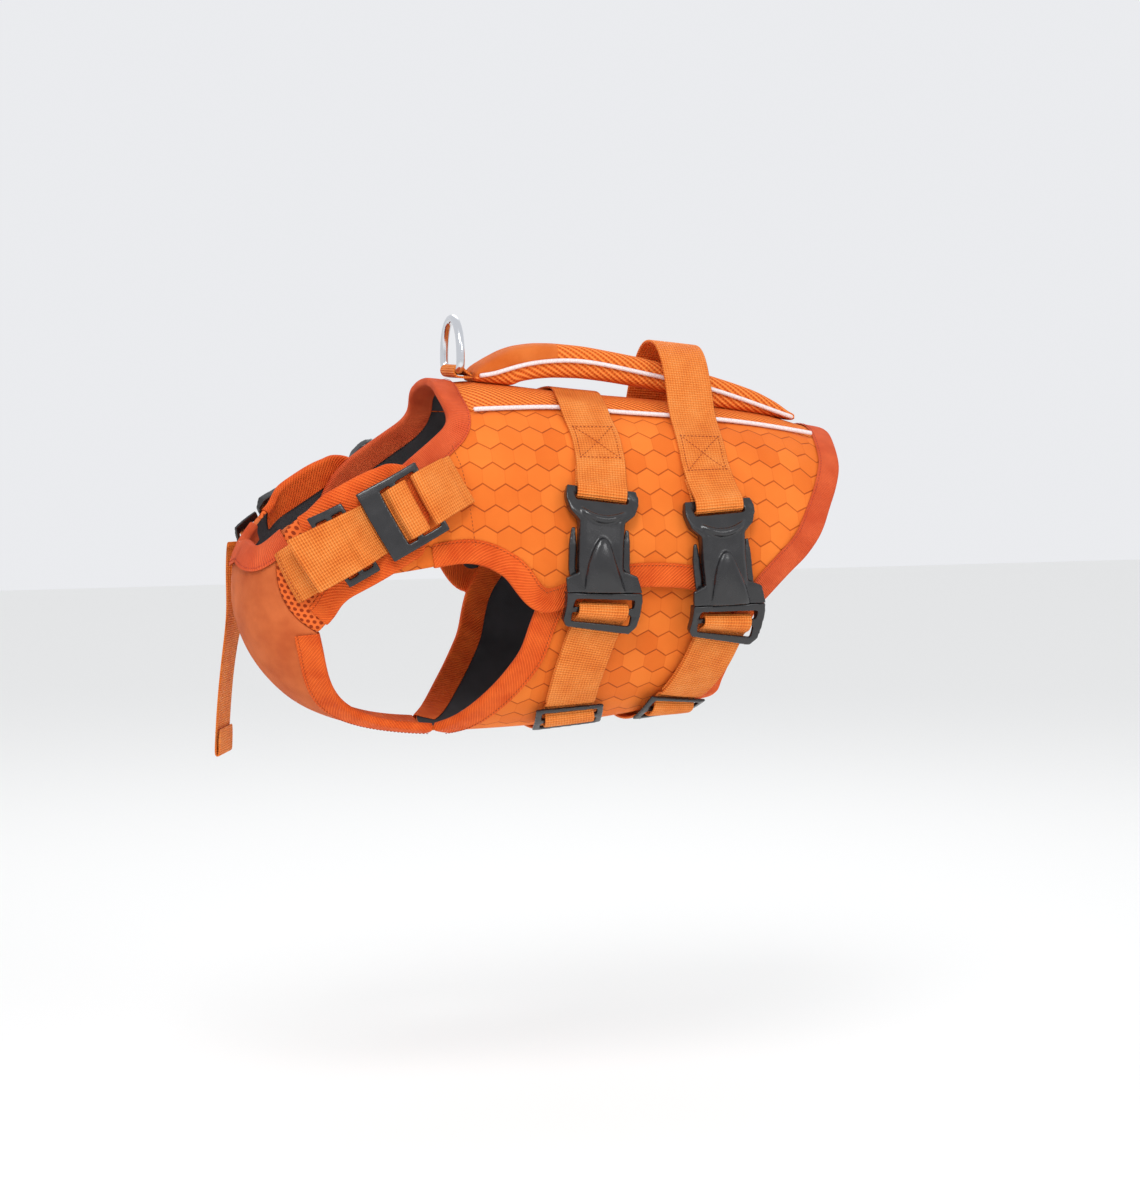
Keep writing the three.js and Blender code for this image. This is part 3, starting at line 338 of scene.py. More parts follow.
def make_hexagon_cloth():
    width = 20 * mm
    material, tree, shader = start_material("hexagon_cloth", tint(240, 125, 50), 0.72)
    places = cloth_places(tree)
    inside, number = hexagons(tree, places, width)
    spread = vectors(tree, "ABSOLUTE", inside)
    slanted = sums(tree, "SUBTRACT", width / 2,
                   vectors(tree, "DOT_PRODUCT", spread, (0.5, math.sqrt(3) / 2, 0), out=1))
    upright = sums(tree, "SUBTRACT", width / 2, vectors(tree, "DOT_PRODUCT", spread, (1, 0, 0), out=1))
    # The hexagon lines are painted darker, the slanted ones fully and the upright ones at about a sixth.
    # This is partly the cloth's embossed pattern and partly painted shade in its grooves, which catch more
    # shade where they run across the light from above.
    lines = sums(tree, "MAXIMUM", line_mask(tree, slanted, 0.8 * mm),
                 sums(tree, "MULTIPLY", line_mask(tree, upright, 0.7 * mm), 0.16))
    weave = plain_weave(tree, places, 1.1 * mm)
    tone = sums(tree, "ADD", sums(tree, "MULTIPLY", number, 0.2),
                sums(tree, "MULTIPLY", blotches(tree, 45 * mm, 3.0), 0.3))
    shade = sums(tree, "ADD", sums(tree, "MULTIPLY_ADD", weave, 0.06, tone),
                 sums(tree, "MULTIPLY", lines, 0.5))
    ramp(tree, shader, shade, [(0.05, tint(250, 134, 50)), (0.4, tint(228, 106, 30)),
                               (0.9, tint(164, 66, 18))])
    height = sums(tree, "ADD", sums(tree, "MULTIPLY", weave, 0.35), sums(tree, "MULTIPLY", lines, -1.0))
    emboss(tree, shader, height, 0.35 * mm)
    return material


def make_lining():
    material, tree, shader = start_material("grey_lining", tint(70, 70, 72), 0.85)
    places = cloth_places(tree)
    weave = plain_weave(tree, places, 1.4 * mm)
    shade = sums(tree, "MULTIPLY_ADD", weave, 0.15, blotches(tree, 30 * mm))
    ramp(tree, shader, shade, [(0.2, tint(60, 60, 62)), (0.8, tint(80, 80, 83))])
    emboss(tree, shader, weave, 0.3 * mm)
    return material


hexagon_cloth = make_hexagon_cloth()
grey_lining = make_lining()


# The foam's soft unevenness under its cloth, in millimetres
noise_size = 45
noise_seed = Vector((3, 0, 0))


def loosen(piece, spots, depth):
    mesh = piece.data
    points = points_of(mesh)
    rise = np.array([noise.noise(Vector(point / noise_size) + noise_seed) for point in points])
    moved_points = points + outward(spots) * (rise * depth)[:, None]
    mesh.vertices.foreach_set("co", (moved_points * mm).ravel())


def soft_panel(node, material, way="girth", beyond_belly=False, depth=0.0):
    piece = quads_of(node, f"{node}_cloth")
    points = points_of(piece.data)
    spots = spots_under(points)
    lay_uv(piece.data, flat_places(points, way, beyond_belly))
    piece.data.materials.append(material)
    piece.data.materials.append(grey_lining)
    line_inside(piece, spots)
    if depth:
        loosen(piece, spots, depth)
    subdivide(piece, 2)
    return piece


for side in ("left", "right"):
    panel = soft_panel(f"side_panel_{side}", hexagon_cloth, depth=0.9)
    dress(panel, f"side_panel_{side}")


# Belly panel
# A thinner panel of the same hexagon cloth joins the two sides underneath.
# It is sewn behind their lower edges.
belly = soft_panel("belly_panel", hexagon_cloth, beyond_belly=True, depth=0.6)
dress(belly, "belly_panel")


# Chest panel
# A plain salmon cloth panel closes the front between the armholes, sewn to the shoulder pads.
def make_smooth_cloth(name, dark, light):
    material, tree, shader = start_material(name, light, 0.7)
    places = cloth_places(tree)
    weave = plain_weave(tree, places, 1.0 * mm)
    shade = sums(tree, "MULTIPLY_ADD", weave, 0.1, blotches(tree, 30 * mm, 4.0))
    ramp(tree, shader, shade, [(0.3, dark), (0.7, light)])
    emboss(tree, shader, weave, 0.25 * mm)
    return material


smooth_cloth = make_smooth_cloth("chest_cloth", tint(206, 92, 42), tint(238, 124, 66))
chest = soft_panel("chest_panel", smooth_cloth, way="chest", beyond_belly=True, depth=0.8)
dress(chest, "chest_panel")


# Spine strip
# Ribbed spacer mesh runs along the back between the two sides, under the handle and the straps.
def make_spacer_mesh():
    material, tree, shader = start_material("spacer_mesh", tint(226, 112, 42), 0.9)
    places = cloth_places(tree)
    cords = ribs(tree, places, 1, 1.4, 4.4 * mm)
    knots = ribs(tree, places, 1, -1, 2.8 * mm)
    height = sums(tree, "MULTIPLY_ADD", knots, 0.3, cords)
    # The colour follows the ribs' height: the valleys between the cords are painted dark as shade, and the
    # cord tops pale.
    shade = sums(tree, "MULTIPLY_ADD", height, 0.38, 0.55)
    ramp(tree, shader, shade, [(0.1, tint(196, 78, 22)), (0.4, tint(242, 116, 40)),
                               (0.9, tint(255, 150, 70))])
    emboss(tree, shader, height, 0.6 * mm)
    return material


spacer_mesh = make_spacer_mesh()
spine = soft_panel("spine_mesh", spacer_mesh, depth=0.5)
dress(spine, "spine_mesh")


# Shoulder pads
# A thin pad of open mesh lies under each shoulder strap, from the side's front tip to the chest.
def make_pad_mesh():
    pitch = 5.2 * mm
    material, tree, shader = start_material("pad_mesh", tint(228, 104, 48), 0.9)
    inside = hexagons(tree, cloth_places(tree), pitch)[0]
    away = vectors(tree, "LENGTH", inside, out=1)
    holes = add_node(tree, "ShaderNodeMapRange", away, 0.2 * pitch, 0.36 * pitch, 1.0, 0.0,
                     interpolation_type="SMOOTHSTEP")
    # The holes are painted dark orange as painted shade inside the open mesh; the blotches add random tone.
    shade = sums(tree, "MULTIPLY_ADD", blotches(tree, 20 * mm), 0.2, sums(tree, "MULTIPLY", holes, 0.75))
    ramp(tree, shader, shade, [(0.0, tint(240, 116, 52)), (0.25, tint(226, 96, 36)),
                               (0.85, tint(150, 52, 16))])
    emboss(tree, shader, sums(tree, "MULTIPLY", holes, -1.0), 0.8 * mm)
    return material


pad_mesh = make_pad_mesh()
for side in ("left", "right"):
    pad = soft_panel(f"shoulder_pad_{side}", pad_mesh)
    dress(pad, f"shoulder_pad_{side}")


# Edge bindings
# Folded tape closes each cut edge: coral tape at the neck and the rear hem, and orange twill
# tape at the armholes, the belly and the pads. Each is sewn through with one row of thread.
tape_width = 20
tape_thick = 1
clear = 0.8
margin = tape_width + 1.5
pad_rise = 8.4


def smooth_path(spots, steps=24):
    points = np.array(spots, float) * (degrees_per_line, 1)
    spans = len(points) - 1
    held = np.vstack([points[:1], points, points[-1:]])
    counts = np.arange(steps * spans + 1) / steps
    index = np.minimum(counts.astype(int), spans - 1)
    part = (counts - index)[:, None]
    before, start, end, after = (held[index + shift] for shift in range(4))
    start_slope = (end - before) / 2
    end_slope = (after - start) / 2
    path = ((2 * start - 2 * end + start_slope + end_slope) * part ** 3
            + (3 * end - 3 * start - 2 * start_slope - end_slope) * part ** 2
            + start_slope * part + start)
    return path / (degrees_per_line, 1)


def measured(spots):
    path = smooth_path(spots)
    steps = np.linalg.norm(np.diff(bare(path), axis=0), axis=1)
    return path, np.concatenate([[0], np.cumsum(steps)])


def spot_at(route, distance):
    path, lengths = route
    distance = np.asarray(distance, float)
    index = np.clip(np.searchsorted(lengths, np.clip(distance, 0, lengths[-1])), 1, len(lengths) - 1)
    part = (distance - lengths[index - 1]) / (lengths[index] - lengths[index - 1])
    return path[index - 1] + (path[index] - path[index - 1]) * part[..., None]


def even(spots, count, start=0.0, end=0.0):
    route = measured(spots)
    return spot_at(route, np.linspace(start, route[1][-1] - end, count + 1))


def left_side(spots):
    return np.array(spots, float) * (1, -1)


def right_side(spots):
    return np.array(spots, float)


def across_belly(spots):
    spots = np.array(spots, float)
    return np.stack([spots[:, 0], -360 - spots[:, 1]], axis=-1)


def side_lift(spots):
    low = np.abs(np.where(spots[..., 1] > 180, spots[..., 1] - 360, spots[..., 1]))
    return side_rise * smoothstep(low, 66, 82) * smoothstep(spots[..., 0], 4.9, 5.5)


def pad_lift(spots):
    return pad_rise * (1 - smoothstep(np.abs(spots[..., 1]), 108, 124))


def no_lift(spots):
    return np.zeros(spots.shape[:-1])


neck_edge = ((1.75, 40), (2.06, 44), (2.08, 50), (1.86, 61.8), (1.7, 72), (1.68, 81), (1.95, 90),
             (2.5, 98), (3.2, 103.5))
armhole_top = ((3.2, 103.5), (3.89, 94.3), (4.45, 89.3), (4.93, 91), (5.38, 98), (5.62, 104))
side_low_edge = ((5.62, 104), (5.82, 100.7), (6.24, 96.6), (6.58, 95.2), (7.15, 96.8), (7.94, 105.5))
hem_edge = ((8.8, 27.5), (8.78, 35.7), (8.74, 49), (8.58, 69.4), (8.36, 86.6), (8.09, 98.2),
            (7.94, 105.5))
spine_neck_edge = ((-0.15, 0), (0, 15), (0.4, 27.5), (1.75, 40))
spine_hem_edge = ((8.85, 0), (8.84, 14), (8.8, 27.5))
belly_front_edge = ((5.75, 91), (5.64, 98.5), (5.6, 107), (5.62, 116.6), (5.54, 127.7), (5.43, 139),
                    (5.3, 152.6), (5.2, 161))
belly_rear_edge = ((7.9, 92), (7.95, 107.5), (7.84, 121.4), (7.8, 140), (7.85, 155), (7.85, 180))
chest_seam = ((0.25, 133), (1, 136.8), (1.63, 137.5), (2.1, 136.6), (2.61, 133.9), (2.95, 131))
chest_armhole = ((2.95, 131), (3.33, 136.6), (3.91, 148.8), (4.3, 156), (4.7, 160.5), (5.18, 161))
neck_front_edge = ((0.25, 133), (0.45, 142), (0.55, 151), (0.35, 166), (0.2, 180))
pad_top_edge = ((0.25, 132.7), (0.4, 120), (0.6, 106), (0.89, 90), (1.25, 79))
pad_low_edge = ((2.95, 130.7), (2.95, 123), (2.92, 115), (3.3, 101), (3.58, 91))
pad_end = ((1.25, 79), (1.9, 73), (2.6, 74), (3.2, 80), (3.58, 91))
edge_steps = 10
tip_margin = 26


def seam_row(spots, count, start=margin, end=margin):
    spots = np.asarray(spots, float)
    return np.vstack([spots[:1], even(spots, count, start, end)[1:-1], spots[-1:]])


def inward_along(spots, inside_spot):
    points = bare(spots)
    segments = np.diff(points, axis=0)
    middle = len(spots) // 2
    normals = outward(spots)
    trial = np.cross(normals[middle], segments[max(0, middle - 1)])
    sign = 1 if trial @ (bare(np.array(inside_spot, float)) - points[middle]) > 0 else -1
    before = segments[np.maximum(0, np.arange(len(spots)) - 1)]
    after = segments[np.minimum(len(segments) - 1, np.arange(len(spots)))]
    first = unit(np.cross(normals, before)) * sign
    second = unit(np.cross(normals, after)) * sign
    mitre = unit(first + second)
    return mitre / np.maximum(0.55, dot(mitre, first))[:, None]


# A closed strip through rings of points, with its flat places
def strip_mesh(name, rings, places, closed=False):
    count, size = rings.shape[:2]
    faces = []
    for index in range(count if closed else count - 1):
        here = index * size
        there = ((index + 1) % count) * size
        for corner in range(size):
            other = (corner + 1) % size
            faces.append((here + corner, there + corner, there + other, here + other))
    if not closed:
        rows = size // 2
        for start, flip in ((0, False), ((count - 1) * size, True)):
            for row in range(rows - 1):
                quad = (start + row, start + row + 1, start + size - 2 - row, start + size - 1 - row)
                faces.append(quad[::-1] if flip else quad)
    points = rings.reshape(-1, 3)
    first, second, third = (points[[face[corner] for face in faces]] for corner in range(3))
    fourth = points[[face[3] for face in faces]]
    volume = dot(first, np.cross(second, third)).sum() + dot(first, np.cross(third, fourth)).sum()
    if volume < 0:
        faces = [face[::-1] for face in faces]
    mesh = bpy.data.meshes.new(name)
    mesh.from_pydata((points * mm).tolist(), [], faces)
    lay_uv(mesh, places.reshape(-1, 2))
    return link_object(name, mesh)


stitch_rows = {"coral": [], "orange": []}


def make_tape(node, spots, inside_spot, lift, slot, thin=False, room=clear):
    material, thread = tapes[slot]
    spots = smooth_path(spots, 2)
    inwards = inward_along(spots, inside_spot)
    lengths = np.concatenate([[0], np.cumsum(np.linalg.norm(np.diff(bare(spots), axis=0), axis=1))])
    reaches = (tape_width, 0.93 * tape_width, tape_width / 2, 2) if thin else (tape_width, 2)
    high = bound_thick + room + tape_thick
    walls = []
    for outer_high, low, fold in ((high, -room - tape_thick, -room - tape_thick),
                                  (high - tape_thick, -room, -room)):
        ends = [moved(spots, inwards * reach) for reach in (*reaches, fold)]
        rows = [form(end, lift(end) + outer_high) for end in ends]
        rows += [form(end, lift(end) + low) for end in ends[::-1]]
        walls.append(np.stack(rows, axis=1))
    rings = np.concatenate([walls[0], walls[1][:, ::-1]], axis=1)
    halfway = [tape_width - reach for reach in (*reaches, -room)]
    across = np.array(halfway + [2 * tape_width + high + room - part for part in halfway[::-1]])
    across = np.concatenate([across, across[::-1]])
    places = np.stack([np.broadcast_to(across, rings.shape[:2]),
                       np.broadcast_to(lengths[:, None], rings.shape[:2])], axis=-1)
    piece = strip_mesh(f"{node}_tape", rings, places * mm)
    piece.data.materials.append(material)
    subdivide(piece, 2)
    dress(piece, node)
    sewn = moved(spots, inwards * (tape_width - 3))
    stitch_rows[thread].append(form(sewn, lift(sewn) + high + 0.15))


def make_tape_material(name, colour, dark, light, across, along, pitch):
    material, tree, shader = start_material(name, colour, 0.8)
    places = cloth_places(tree)
    twill = ribs(tree, places, across, along, pitch)
    fine = ribs(tree, places, 1, 0, 1.1 * mm)
    height = sums(tree, "MULTIPLY_ADD", fine, 0.25, twill)
    # The colour follows the twill's height, so its grooves get a little painted shade; the blotches add
    # random tone.
    shade = sums(tree, "MULTIPLY_ADD", height, 0.16, blotches(tree, 18 * mm, 3.0))
    ramp(tree, shader, shade, [(0.2, dark), (0.8, light)])
    emboss(tree, shader, height, 0.35 * mm)
    return material


tapes = {
    "coral_tape": (make_tape_material("coral_tape", tint(230, 92, 52), tint(214, 78, 38),
                                      tint(240, 106, 58), 0, 1, 1.5 * mm), "coral"),
    "twill_tape": (make_tape_material("twill_tape", tint(235, 95, 40), tint(214, 74, 18),
                                      tint(250, 112, 42), 1, 1, 2.2 * mm), "orange"),
}

for side, place in (("left", left_side), ("right", right_side)):
    armhole = seam_row(place(armhole_top), 9, margin, tip_margin)
    low_edge = seam_row(place(side_low_edge), 8, tip_margin, margin)
    low = np.vstack([armhole, low_edge[1:]])
    make_tape(f"side_lower_binding_{side}", low[2:-1], place([(5.8, 60)])[0], side_lift,
              "twill_tape")
    pad_edge = np.vstack([even(place(pad_top_edge), 11), even(place(pad_end), 6)[1:],
                          even(place(pad_low_edge), 11)[::-1][1:]])
    make_tape(f"shoulder_pad_binding_{side}", pad_edge[1:-1], place([(2, 105)])[0], pad_lift,
              "twill_tape", thin=True)


def whole_edge(edge, middle):
    sides = [seam_row(place(edge), edge_steps, 0, margin) for place in (left_side, right_side)]
    half = np.vstack([left_side(middle)[1:][::-1], right_side(middle)])
    return np.vstack([sides[0][::-1], even(half, 6)[1:-1], sides[1]])


make_tape("neck_back_binding", whole_edge(neck_edge, spine_neck_edge), (5, 0), no_lift,
          "coral_tape")
make_tape("rear_hem_binding", whole_edge(hem_edge, spine_hem_edge), (6, 0), side_lift,
          "coral_tape")

belly_front_left = even(left_side(belly_front_edge), 10)
belly_front_right = even(across_belly(left_side(belly_front_edge)), 10)
belly_rear = even(np.vstack([left_side(belly_rear_edge),
                             across_belly(left_side(belly_rear_edge))[::-1][1:]]), 22)
make_tape("belly_front_binding_left", belly_front_left, (6.8, -130), no_lift, "twill_tape",
          thin=True, room=1.1)
make_tape("belly_front_binding_right", belly_front_right, (6.8, -230), no_lift, "twill_tape",
          thin=True, room=1.1)
make_tape("belly_rear_binding", belly_rear, (6.5, -180), no_lift, "twill_tape", thin=True)

chest_arm_left = even(left_side(chest_armhole), 10)
neck_front = even(np.vstack([left_side(neck_front_edge),
                             across_belly(left_side(neck_front_edge))[::-1][1:]]), 16)
make_tape("neck_front_binding", neck_front[1:-1], (2, -180), no_lift, "coral_tape", thin=True,
          room=1.3)
make_tape("chest_armhole_binding_left", chest_arm_left, (3, -170), no_lift, "twill_tape",
          thin=True)
make_tape("chest_armhole_binding_right", across_belly(chest_arm_left), (3, -190), no_lift,
          "twill_tape", thin=True)


# Piping
# Two cords in a pale reflective sleeve cover the spine seams, and two more edge the handle.
def make_reflective():
    material, tree, shader = start_material("reflective_sleeve", tint(236, 222, 220), 0.38, 0.5)
    # The fine speckle is painted glitter: paler flecks stand in for glints off the sleeve. It also bumps the
    # surface a little.
    glint_speckle = blotches(tree, 1.2 * mm, 2.0)
    ramp(tree, shader, glint_speckle, [(0.25, tint(214, 196, 196)), (0.75, tint(246, 238, 236))])
    emboss(tree, shader, glint_speckle, 0.15 * mm)
    return material


# The sleeve is a little fuller than its cord
def swell(piece, depth):
    modifier = piece.modifiers.new("swell", "DISPLACE")
    modifier.strength = depth
    modifier.mid_level = 0


reflective = make_reflective()
for node in ("spine_piping_left", "spine_piping_right", "handle_piping_left", "handle_piping_right"):
    piping = quads_of(node, f"{node}_sleeve", crease=0.5, rim_angle=80)
    piping.data.materials.append(reflective)
    subdivide(piping, 2)
    swell(piping, 0.55 * mm)
    dress(piping, node)


# Girth straps
# Two loops of 45 mm webbing go round the jacket. On each side the upper web turns round the top
# bar of a side-release buckle, and the lower web runs from its other half to a slider below.
web_width = 45
web_thick = 2
longest_span = 21
on_panel = clear + web_thick / 2
direction_reach = 40


def on_route(route, distance, across, high):
    distance, across, high = np.broadcast_arrays(*(np.asarray(part, float)
                                                   for part in (distance, across, high)))
    centre = spot_at(route, distance)
    way = (bare(spot_at(route, distance + direction_reach))
           - bare(spot_at(route, distance - direction_reach)))
    sideways = unit(np.cross(outward(centre), way))
    return form(moved(centre, sideways * across[..., None]), high)


def mark(route, turn):
    path, lengths = route
    return lengths[np.argmax(path[:, 1] <= turn)]


# A strap's side view is smoothed between its points before it gets its thickness
def filled_profile(profile):
    filled = [profile[0]]
    for before, after in zip(profile, profile[1:]):
        parts = math.ceil(max(1.0, abs(after[0] - before[0])) / longest_span)
        filled += [tuple(np.add(before, np.subtract(after, before) * (part + 1) / parts))
                   for part in range(parts)]
    return smooth_path(np.array(filled) / (degrees_per_line, 1), 2) * (degrees_per_line, 1)


def offset_rows(profile):
    steps = unit(np.diff(profile, axis=0))
    before = np.vstack([steps[:1], steps])
    after = np.vstack([steps, steps[-1:]])
    way = unit(before + after)
    shorter = np.maximum(0.6, dot(way, np.vstack([after[:1], before[1:]])))
    return np.stack([-way[:, 1], way[:, 0]], axis=-1) * (web_thick / 2 / shorter)[:, None]


web_rows = np.array([-1, -0.94, -0.5, 0, 0.5, 0.94, 1]) * web_width / 2


def make_webbing():
    material, tree, shader = start_material("webbing", tint(225, 125, 55), 0.7)
    places = cloth_places(tree)
    cords = ribs(tree, places, 0, 1, 2.1 * mm)
    columns = sums(tree, "ABSOLUTE", ribs(tree, places, 1, 0, 5.0 * mm))
    height = sums(tree, "MULTIPLY_ADD", columns, 1.2, cords)
    soil = sums(tree, "MULTIPLY", blotches(tree, 22 * mm, 3.0), 0.7)
    # The colour follows the weave's height: the gaps between the ribs are painted darker as shade, and the
    # soil blotches add random tone.
    shade = sums(tree, "MULTIPLY_ADD", height, 0.15, soil)
    ramp(tree, shader, shade, [(0.12, tint(214, 98, 30)), (0.45, tint(246, 134, 52)),
                               (0.85, tint(255, 164, 88))])
    emboss(tree, shader, height, 0.45 * mm)
    return material


webbing = make_webbing()


# A woven strip from its side view and the rows across it, with its length
def weave_strip(node, place, profile, rows, levels):
    offsets = offset_rows(profile)
    walls = [place(edge[:, :1], rows[None], edge[:, 1:]) for edge in (profile + offsets, profile - offsets)]
    rings = np.concatenate([walls[0], walls[1][:, ::-1]], axis=1)
    lengths = np.cumsum(np.linalg.norm(np.diff(profile, axis=0, prepend=profile[:1]), axis=1))
    places = np.stack([np.broadcast_to(np.concatenate([rows, rows[::-1]]), rings.shape[:2]),
                       np.broadcast_to(lengths[:, None], rings.shape[:2])], axis=-1)
    piece = strip_mesh(f"{node}_woven", rings, places * mm)
    piece.data.materials.append(webbing)
    subdivide(piece, levels)
    dress(piece, node)
    return piece, lengths[-1]


def make_web(node, place, profile):
    weave_strip(node, place, filled_profile(profile), web_rows, 1)


buckle_split = 85


def girth_base(t):
    return 10.4 + 5.6 * smoothstep(t, -4, 32) - 4 * smoothstep(t, buckle_split, 125)


def over_slider(at, low):
    return [(at - 16, low), (at - 9.6, low), (at - 5, low + 7.8), (at + 5, low + 7.8),
            (at + 9.6, low), (at + 16, low)]


def around_top_bar(at, low, more=0.0):
    return [(at - 34, low), (at - 24, low + 3), (at - 8, low + 4.8 + more / 2), (at + 0.5, 20.8 + more),
            (at + 5.5, 21.8 + more), (at + 9.2, 21.2 + more), (at + 10.8, 17.4 + more),
            (at + 9.4, 13.9 + more), (at + 5, 12.3 + more), (at - 8, 11.6 + more / 2), (at - 19, low)]


def around_inner_bar(at, end, low, more=0.0):
    return [(end, low), (at + 129, low + 3 + more / 2), (at + 120, 11.6 + more), (at + 111, 12.5 + more),
            (at + 101, 15.6 + more), (at + 96, 17.6 + more), (at + 95.2, 20.6 + more),
            (at + 96.6, 23.8 + more), (at + 100.5, 25.3 + more), (at + 105.2, 23.2 + more),
            (at + 108.8, 17.4 + more), (at + 113, 15.5 + more), (at + 120, 14.6 + more),
            (at + 129, low + 6 + more / 2), (end, low + 3)]


straps = {
    "front": {
        "route": ((5.75, 0), (5.7, 12), (5.66, 26.1), (5.87, 43), (5.95, 57), (5.97, 64.5), (6.08, 86),
                  (6.24, 99.8), (6.25, 113.7), (6.25, 124.8), (6.3, 138.5), (6.4, 155), (6.45, 180)),
        "buckle_turn": 61.8,
        "slider_turn": 148,
        "over_back": [(0, 9.8), (14, 9.8), (28, 9.9), (38, 11), (46, 13.2), (56, 13.2), (66, 10.8)],
        "low": bound_thick + on_panel + 0.4,
        "more": 0.0,
        "box": (36.8, 51.1),
    },
    "rear": {
        "route": ((7.17, 0), (7.2, 15), (7.24, 28.7), (7.28, 54), (7.36, 65.8), (7.44, 87.7),
                  (7.57, 107), (7.53, 122.9), (7.45, 136.4), (7.35, 151.6), (7.3, 180)),
        "buckle_turn": 65.5,
        "slider_turn": 151,
        "over_back": [(0, 60), (8, 58.5), (16, 53), (25, 43), (35, 31), (44, 21), (52, 14.5),
                      (64, 10.8)],
        "low": bound_thick + clear + tape_thick + on_panel + 0.4,
        "more": 0.5,
        "box": (38.6, 54.4),
    },
}


# Sewn squares with their diagonals, on the outside of a strap
sewn_half = 18


def sew_box(place, start, end, high):
    corners = [(start, -sewn_half), (start, sewn_half), (end, sewn_half), (end, -sewn_half)]
    lines = [corners + corners[:1], corners[::2], corners[1::2]]
    for line in lines:
        for before, after in zip(line, line[1:]):
            parts = np.linspace(0, 1, 9)[:, None]
            row = np.array(before) + (np.array(after) - before) * parts
            stitch_rows["orange"].append(place(row[:, 0], row[:, 1], high(row[:, 0])))


def girth_buckle(route, start, way):
    def place(t, across, z):
        return on_route(route, start + way * t, across, girth_base(t) + z)
    return place


buckle_places = {}
for name, strap in straps.items():
    side_route = np.array(strap["route"], float)
    near_spine = side_route[(side_route[:, 1] > 0) & (side_route[:, 1] < 125)][::-1]
    far_side = across_belly(left_side(side_route))[::-1][1:]
    route = measured(np.vstack([near_spine, left_side(side_route), far_side[far_side[:, 1] > -340]]))
    spine_at = mark(route, 0)
    belly_at = mark(route, -180)
    left_at = mark(route, -strap["buckle_turn"])
    reach = left_at - spine_at
    loop = around_top_bar(reach, side_foam + on_panel, strap["more"])
    half_upper = strap["over_back"] + [step for step in loop if step[0] > strap["over_back"][-1][0] + 4]
    if half_upper[-1] != loop[-1]:
        half_upper.append(loop[-1])

    def along_strap(distance, across, high, route=route):
        return on_route(route, distance, across, high)

    make_web(f"{name}_girth_web_upper", along_strap,
             [(spine_at - s, high) for s, high in half_upper[:0:-1]]
             + [(spine_at + s, high) for s, high in half_upper])
    slider_at = mark(route, -strap["slider_turn"])
    half_lower = (around_inner_bar(0, slider_at - left_at - 18, strap["low"])
                  + over_slider(slider_at - left_at, strap["low"]))
    below = 2 * (belly_at - left_at)
    lower = (half_lower + [(belly_at - left_at, strap["low"])]
             + [(below - s, high) for s, high in half_lower[::-1]])
    make_web(f"{name}_girth_web_lower", along_strap, [(left_at + s, high) for s, high in lower])
    rising = [step for step in half_upper if step[0] <= reach + 1 and step[1] < 30]

    def top_height(distance, rising=rising, spine_at=spine_at):
        steps = sorted(set(rising[:-1]))
        return np.interp(np.abs(distance - spine_at), [s for s, _ in steps],
                         [high for _, high in steps]) + web_thick / 2 + 0.25

    box_start, box_end = (mark(route, -turn) for turn in strap["box"])
    sew_box(along_strap, box_start, box_end, top_height)
    sew_box(along_strap, 2 * spine_at - box_start, 2 * spine_at - box_end, top_height)
    buckle_places[f"{name}_buckle_left"] = girth_buckle(route, left_at, 1)
    buckle_places[f"{name}_buckle_right"] = girth_buckle(route, 2 * belly_at - left_at, -1)


# Buckles and sliders
# Side-release buckles, sliders and a ladder lock are moulded in satin black plastic. The web
# runs round their bars, and each buckle is pressed shut.
def make_black_plastic():
    material, tree, shader = start_material("black_plastic", tint(34, 33, 35), 0.3, 0.6)
    grain = blotches(tree, 0.9 * mm, 3.0)
    wear = blotches(tree, 14 * mm, 4.0)
    shade = sums(tree, "MULTIPLY_ADD", grain, 0.2, wear)
    ramp(tree, shader, shade, [(0.3, tint(20, 20, 22)), (0.8, tint(34, 33, 35))])
    rough = add_node(tree, "ShaderNodeMapRange", wear, 0.3, 0.7, 0.18, 0.3)
    tree.links.new(rough, shader.inputs["Roughness"])
    emboss(tree, shader, grain, 0.08 * mm)
    return material


black_plastic = make_black_plastic()


# The plastic has no sharp edge anywhere: a fine skin is drawn over the shape and relaxed
skin_grain = 0.85 * mm


def moulded(node, extras=()):
    piece = quads_of(node, f"{node}_moulded", crease=0.0)
    body = bmesh.new()
    body.from_mesh(piece.data)
    for extra in extras:
        body.from_mesh(extra.data)
        bpy.data.objects.remove(extra)
    body.to_mesh(piece.data)
    body.free()
    skin = piece.modifiers.new("skin", "REMESH")
    skin.mode = "VOXEL"
    skin.voxel_size = skin_grain
    relax = piece.modifiers.new("relax", "SMOOTH")
    relax.factor = 0.5
    relax.iterations = 9
    bpy.context.view_layer.update()
    mesh = bpy.data.meshes.new_from_object(
        piece.evaluated_get(bpy.context.evaluated_depsgraph_get()))
    piece.modifiers.clear()
    piece.data = mesh
    for polygon in mesh.polygons:
        polygon.use_smooth = True
    mesh.materials.clear()
    mesh.materials.append(black_plastic)
    dress(piece, node)


for node in ("front_slider_left", "front_slider_right", "rear_slider_left", "rear_slider_right",
             "shoulder_slider_left", "shoulder_slider_right", "shoulder_ladder_lock_left"):
    moulded(node)

# The shoulder strap's route, from the side panel's front seam over the pad to the chest seam
shoulder_ends = np.array([(3.5, -64.5), (1.7, -134)])
spots = [shoulder_ends[0]]
target = bare(shoulder_ends[1])
for count in range(8):
    away = target - bare(spots[-1])
    normal = outward(spots[-1])
    spots.append(moved(spots[-1], (away - normal * (away @ normal)) / (9 - count)))
shoulder_route = measured(np.vstack([spots, shoulder_ends[1:]]))
shoulder_length = shoulder_route[1][-1]


def on_left_shoulder(distance, across, high):
    return on_route(shoulder_route, distance, across, high)


def on_right_shoulder(distance, across, high):
    return on_left_shoulder(distance, across, high) * (1, -1, 1)


shoulder_start = 12
buckle_places["shoulder_buckle_right"] = (
    lambda t, across, z: on_right_shoulder(shoulder_start + t, across, 17 + z))


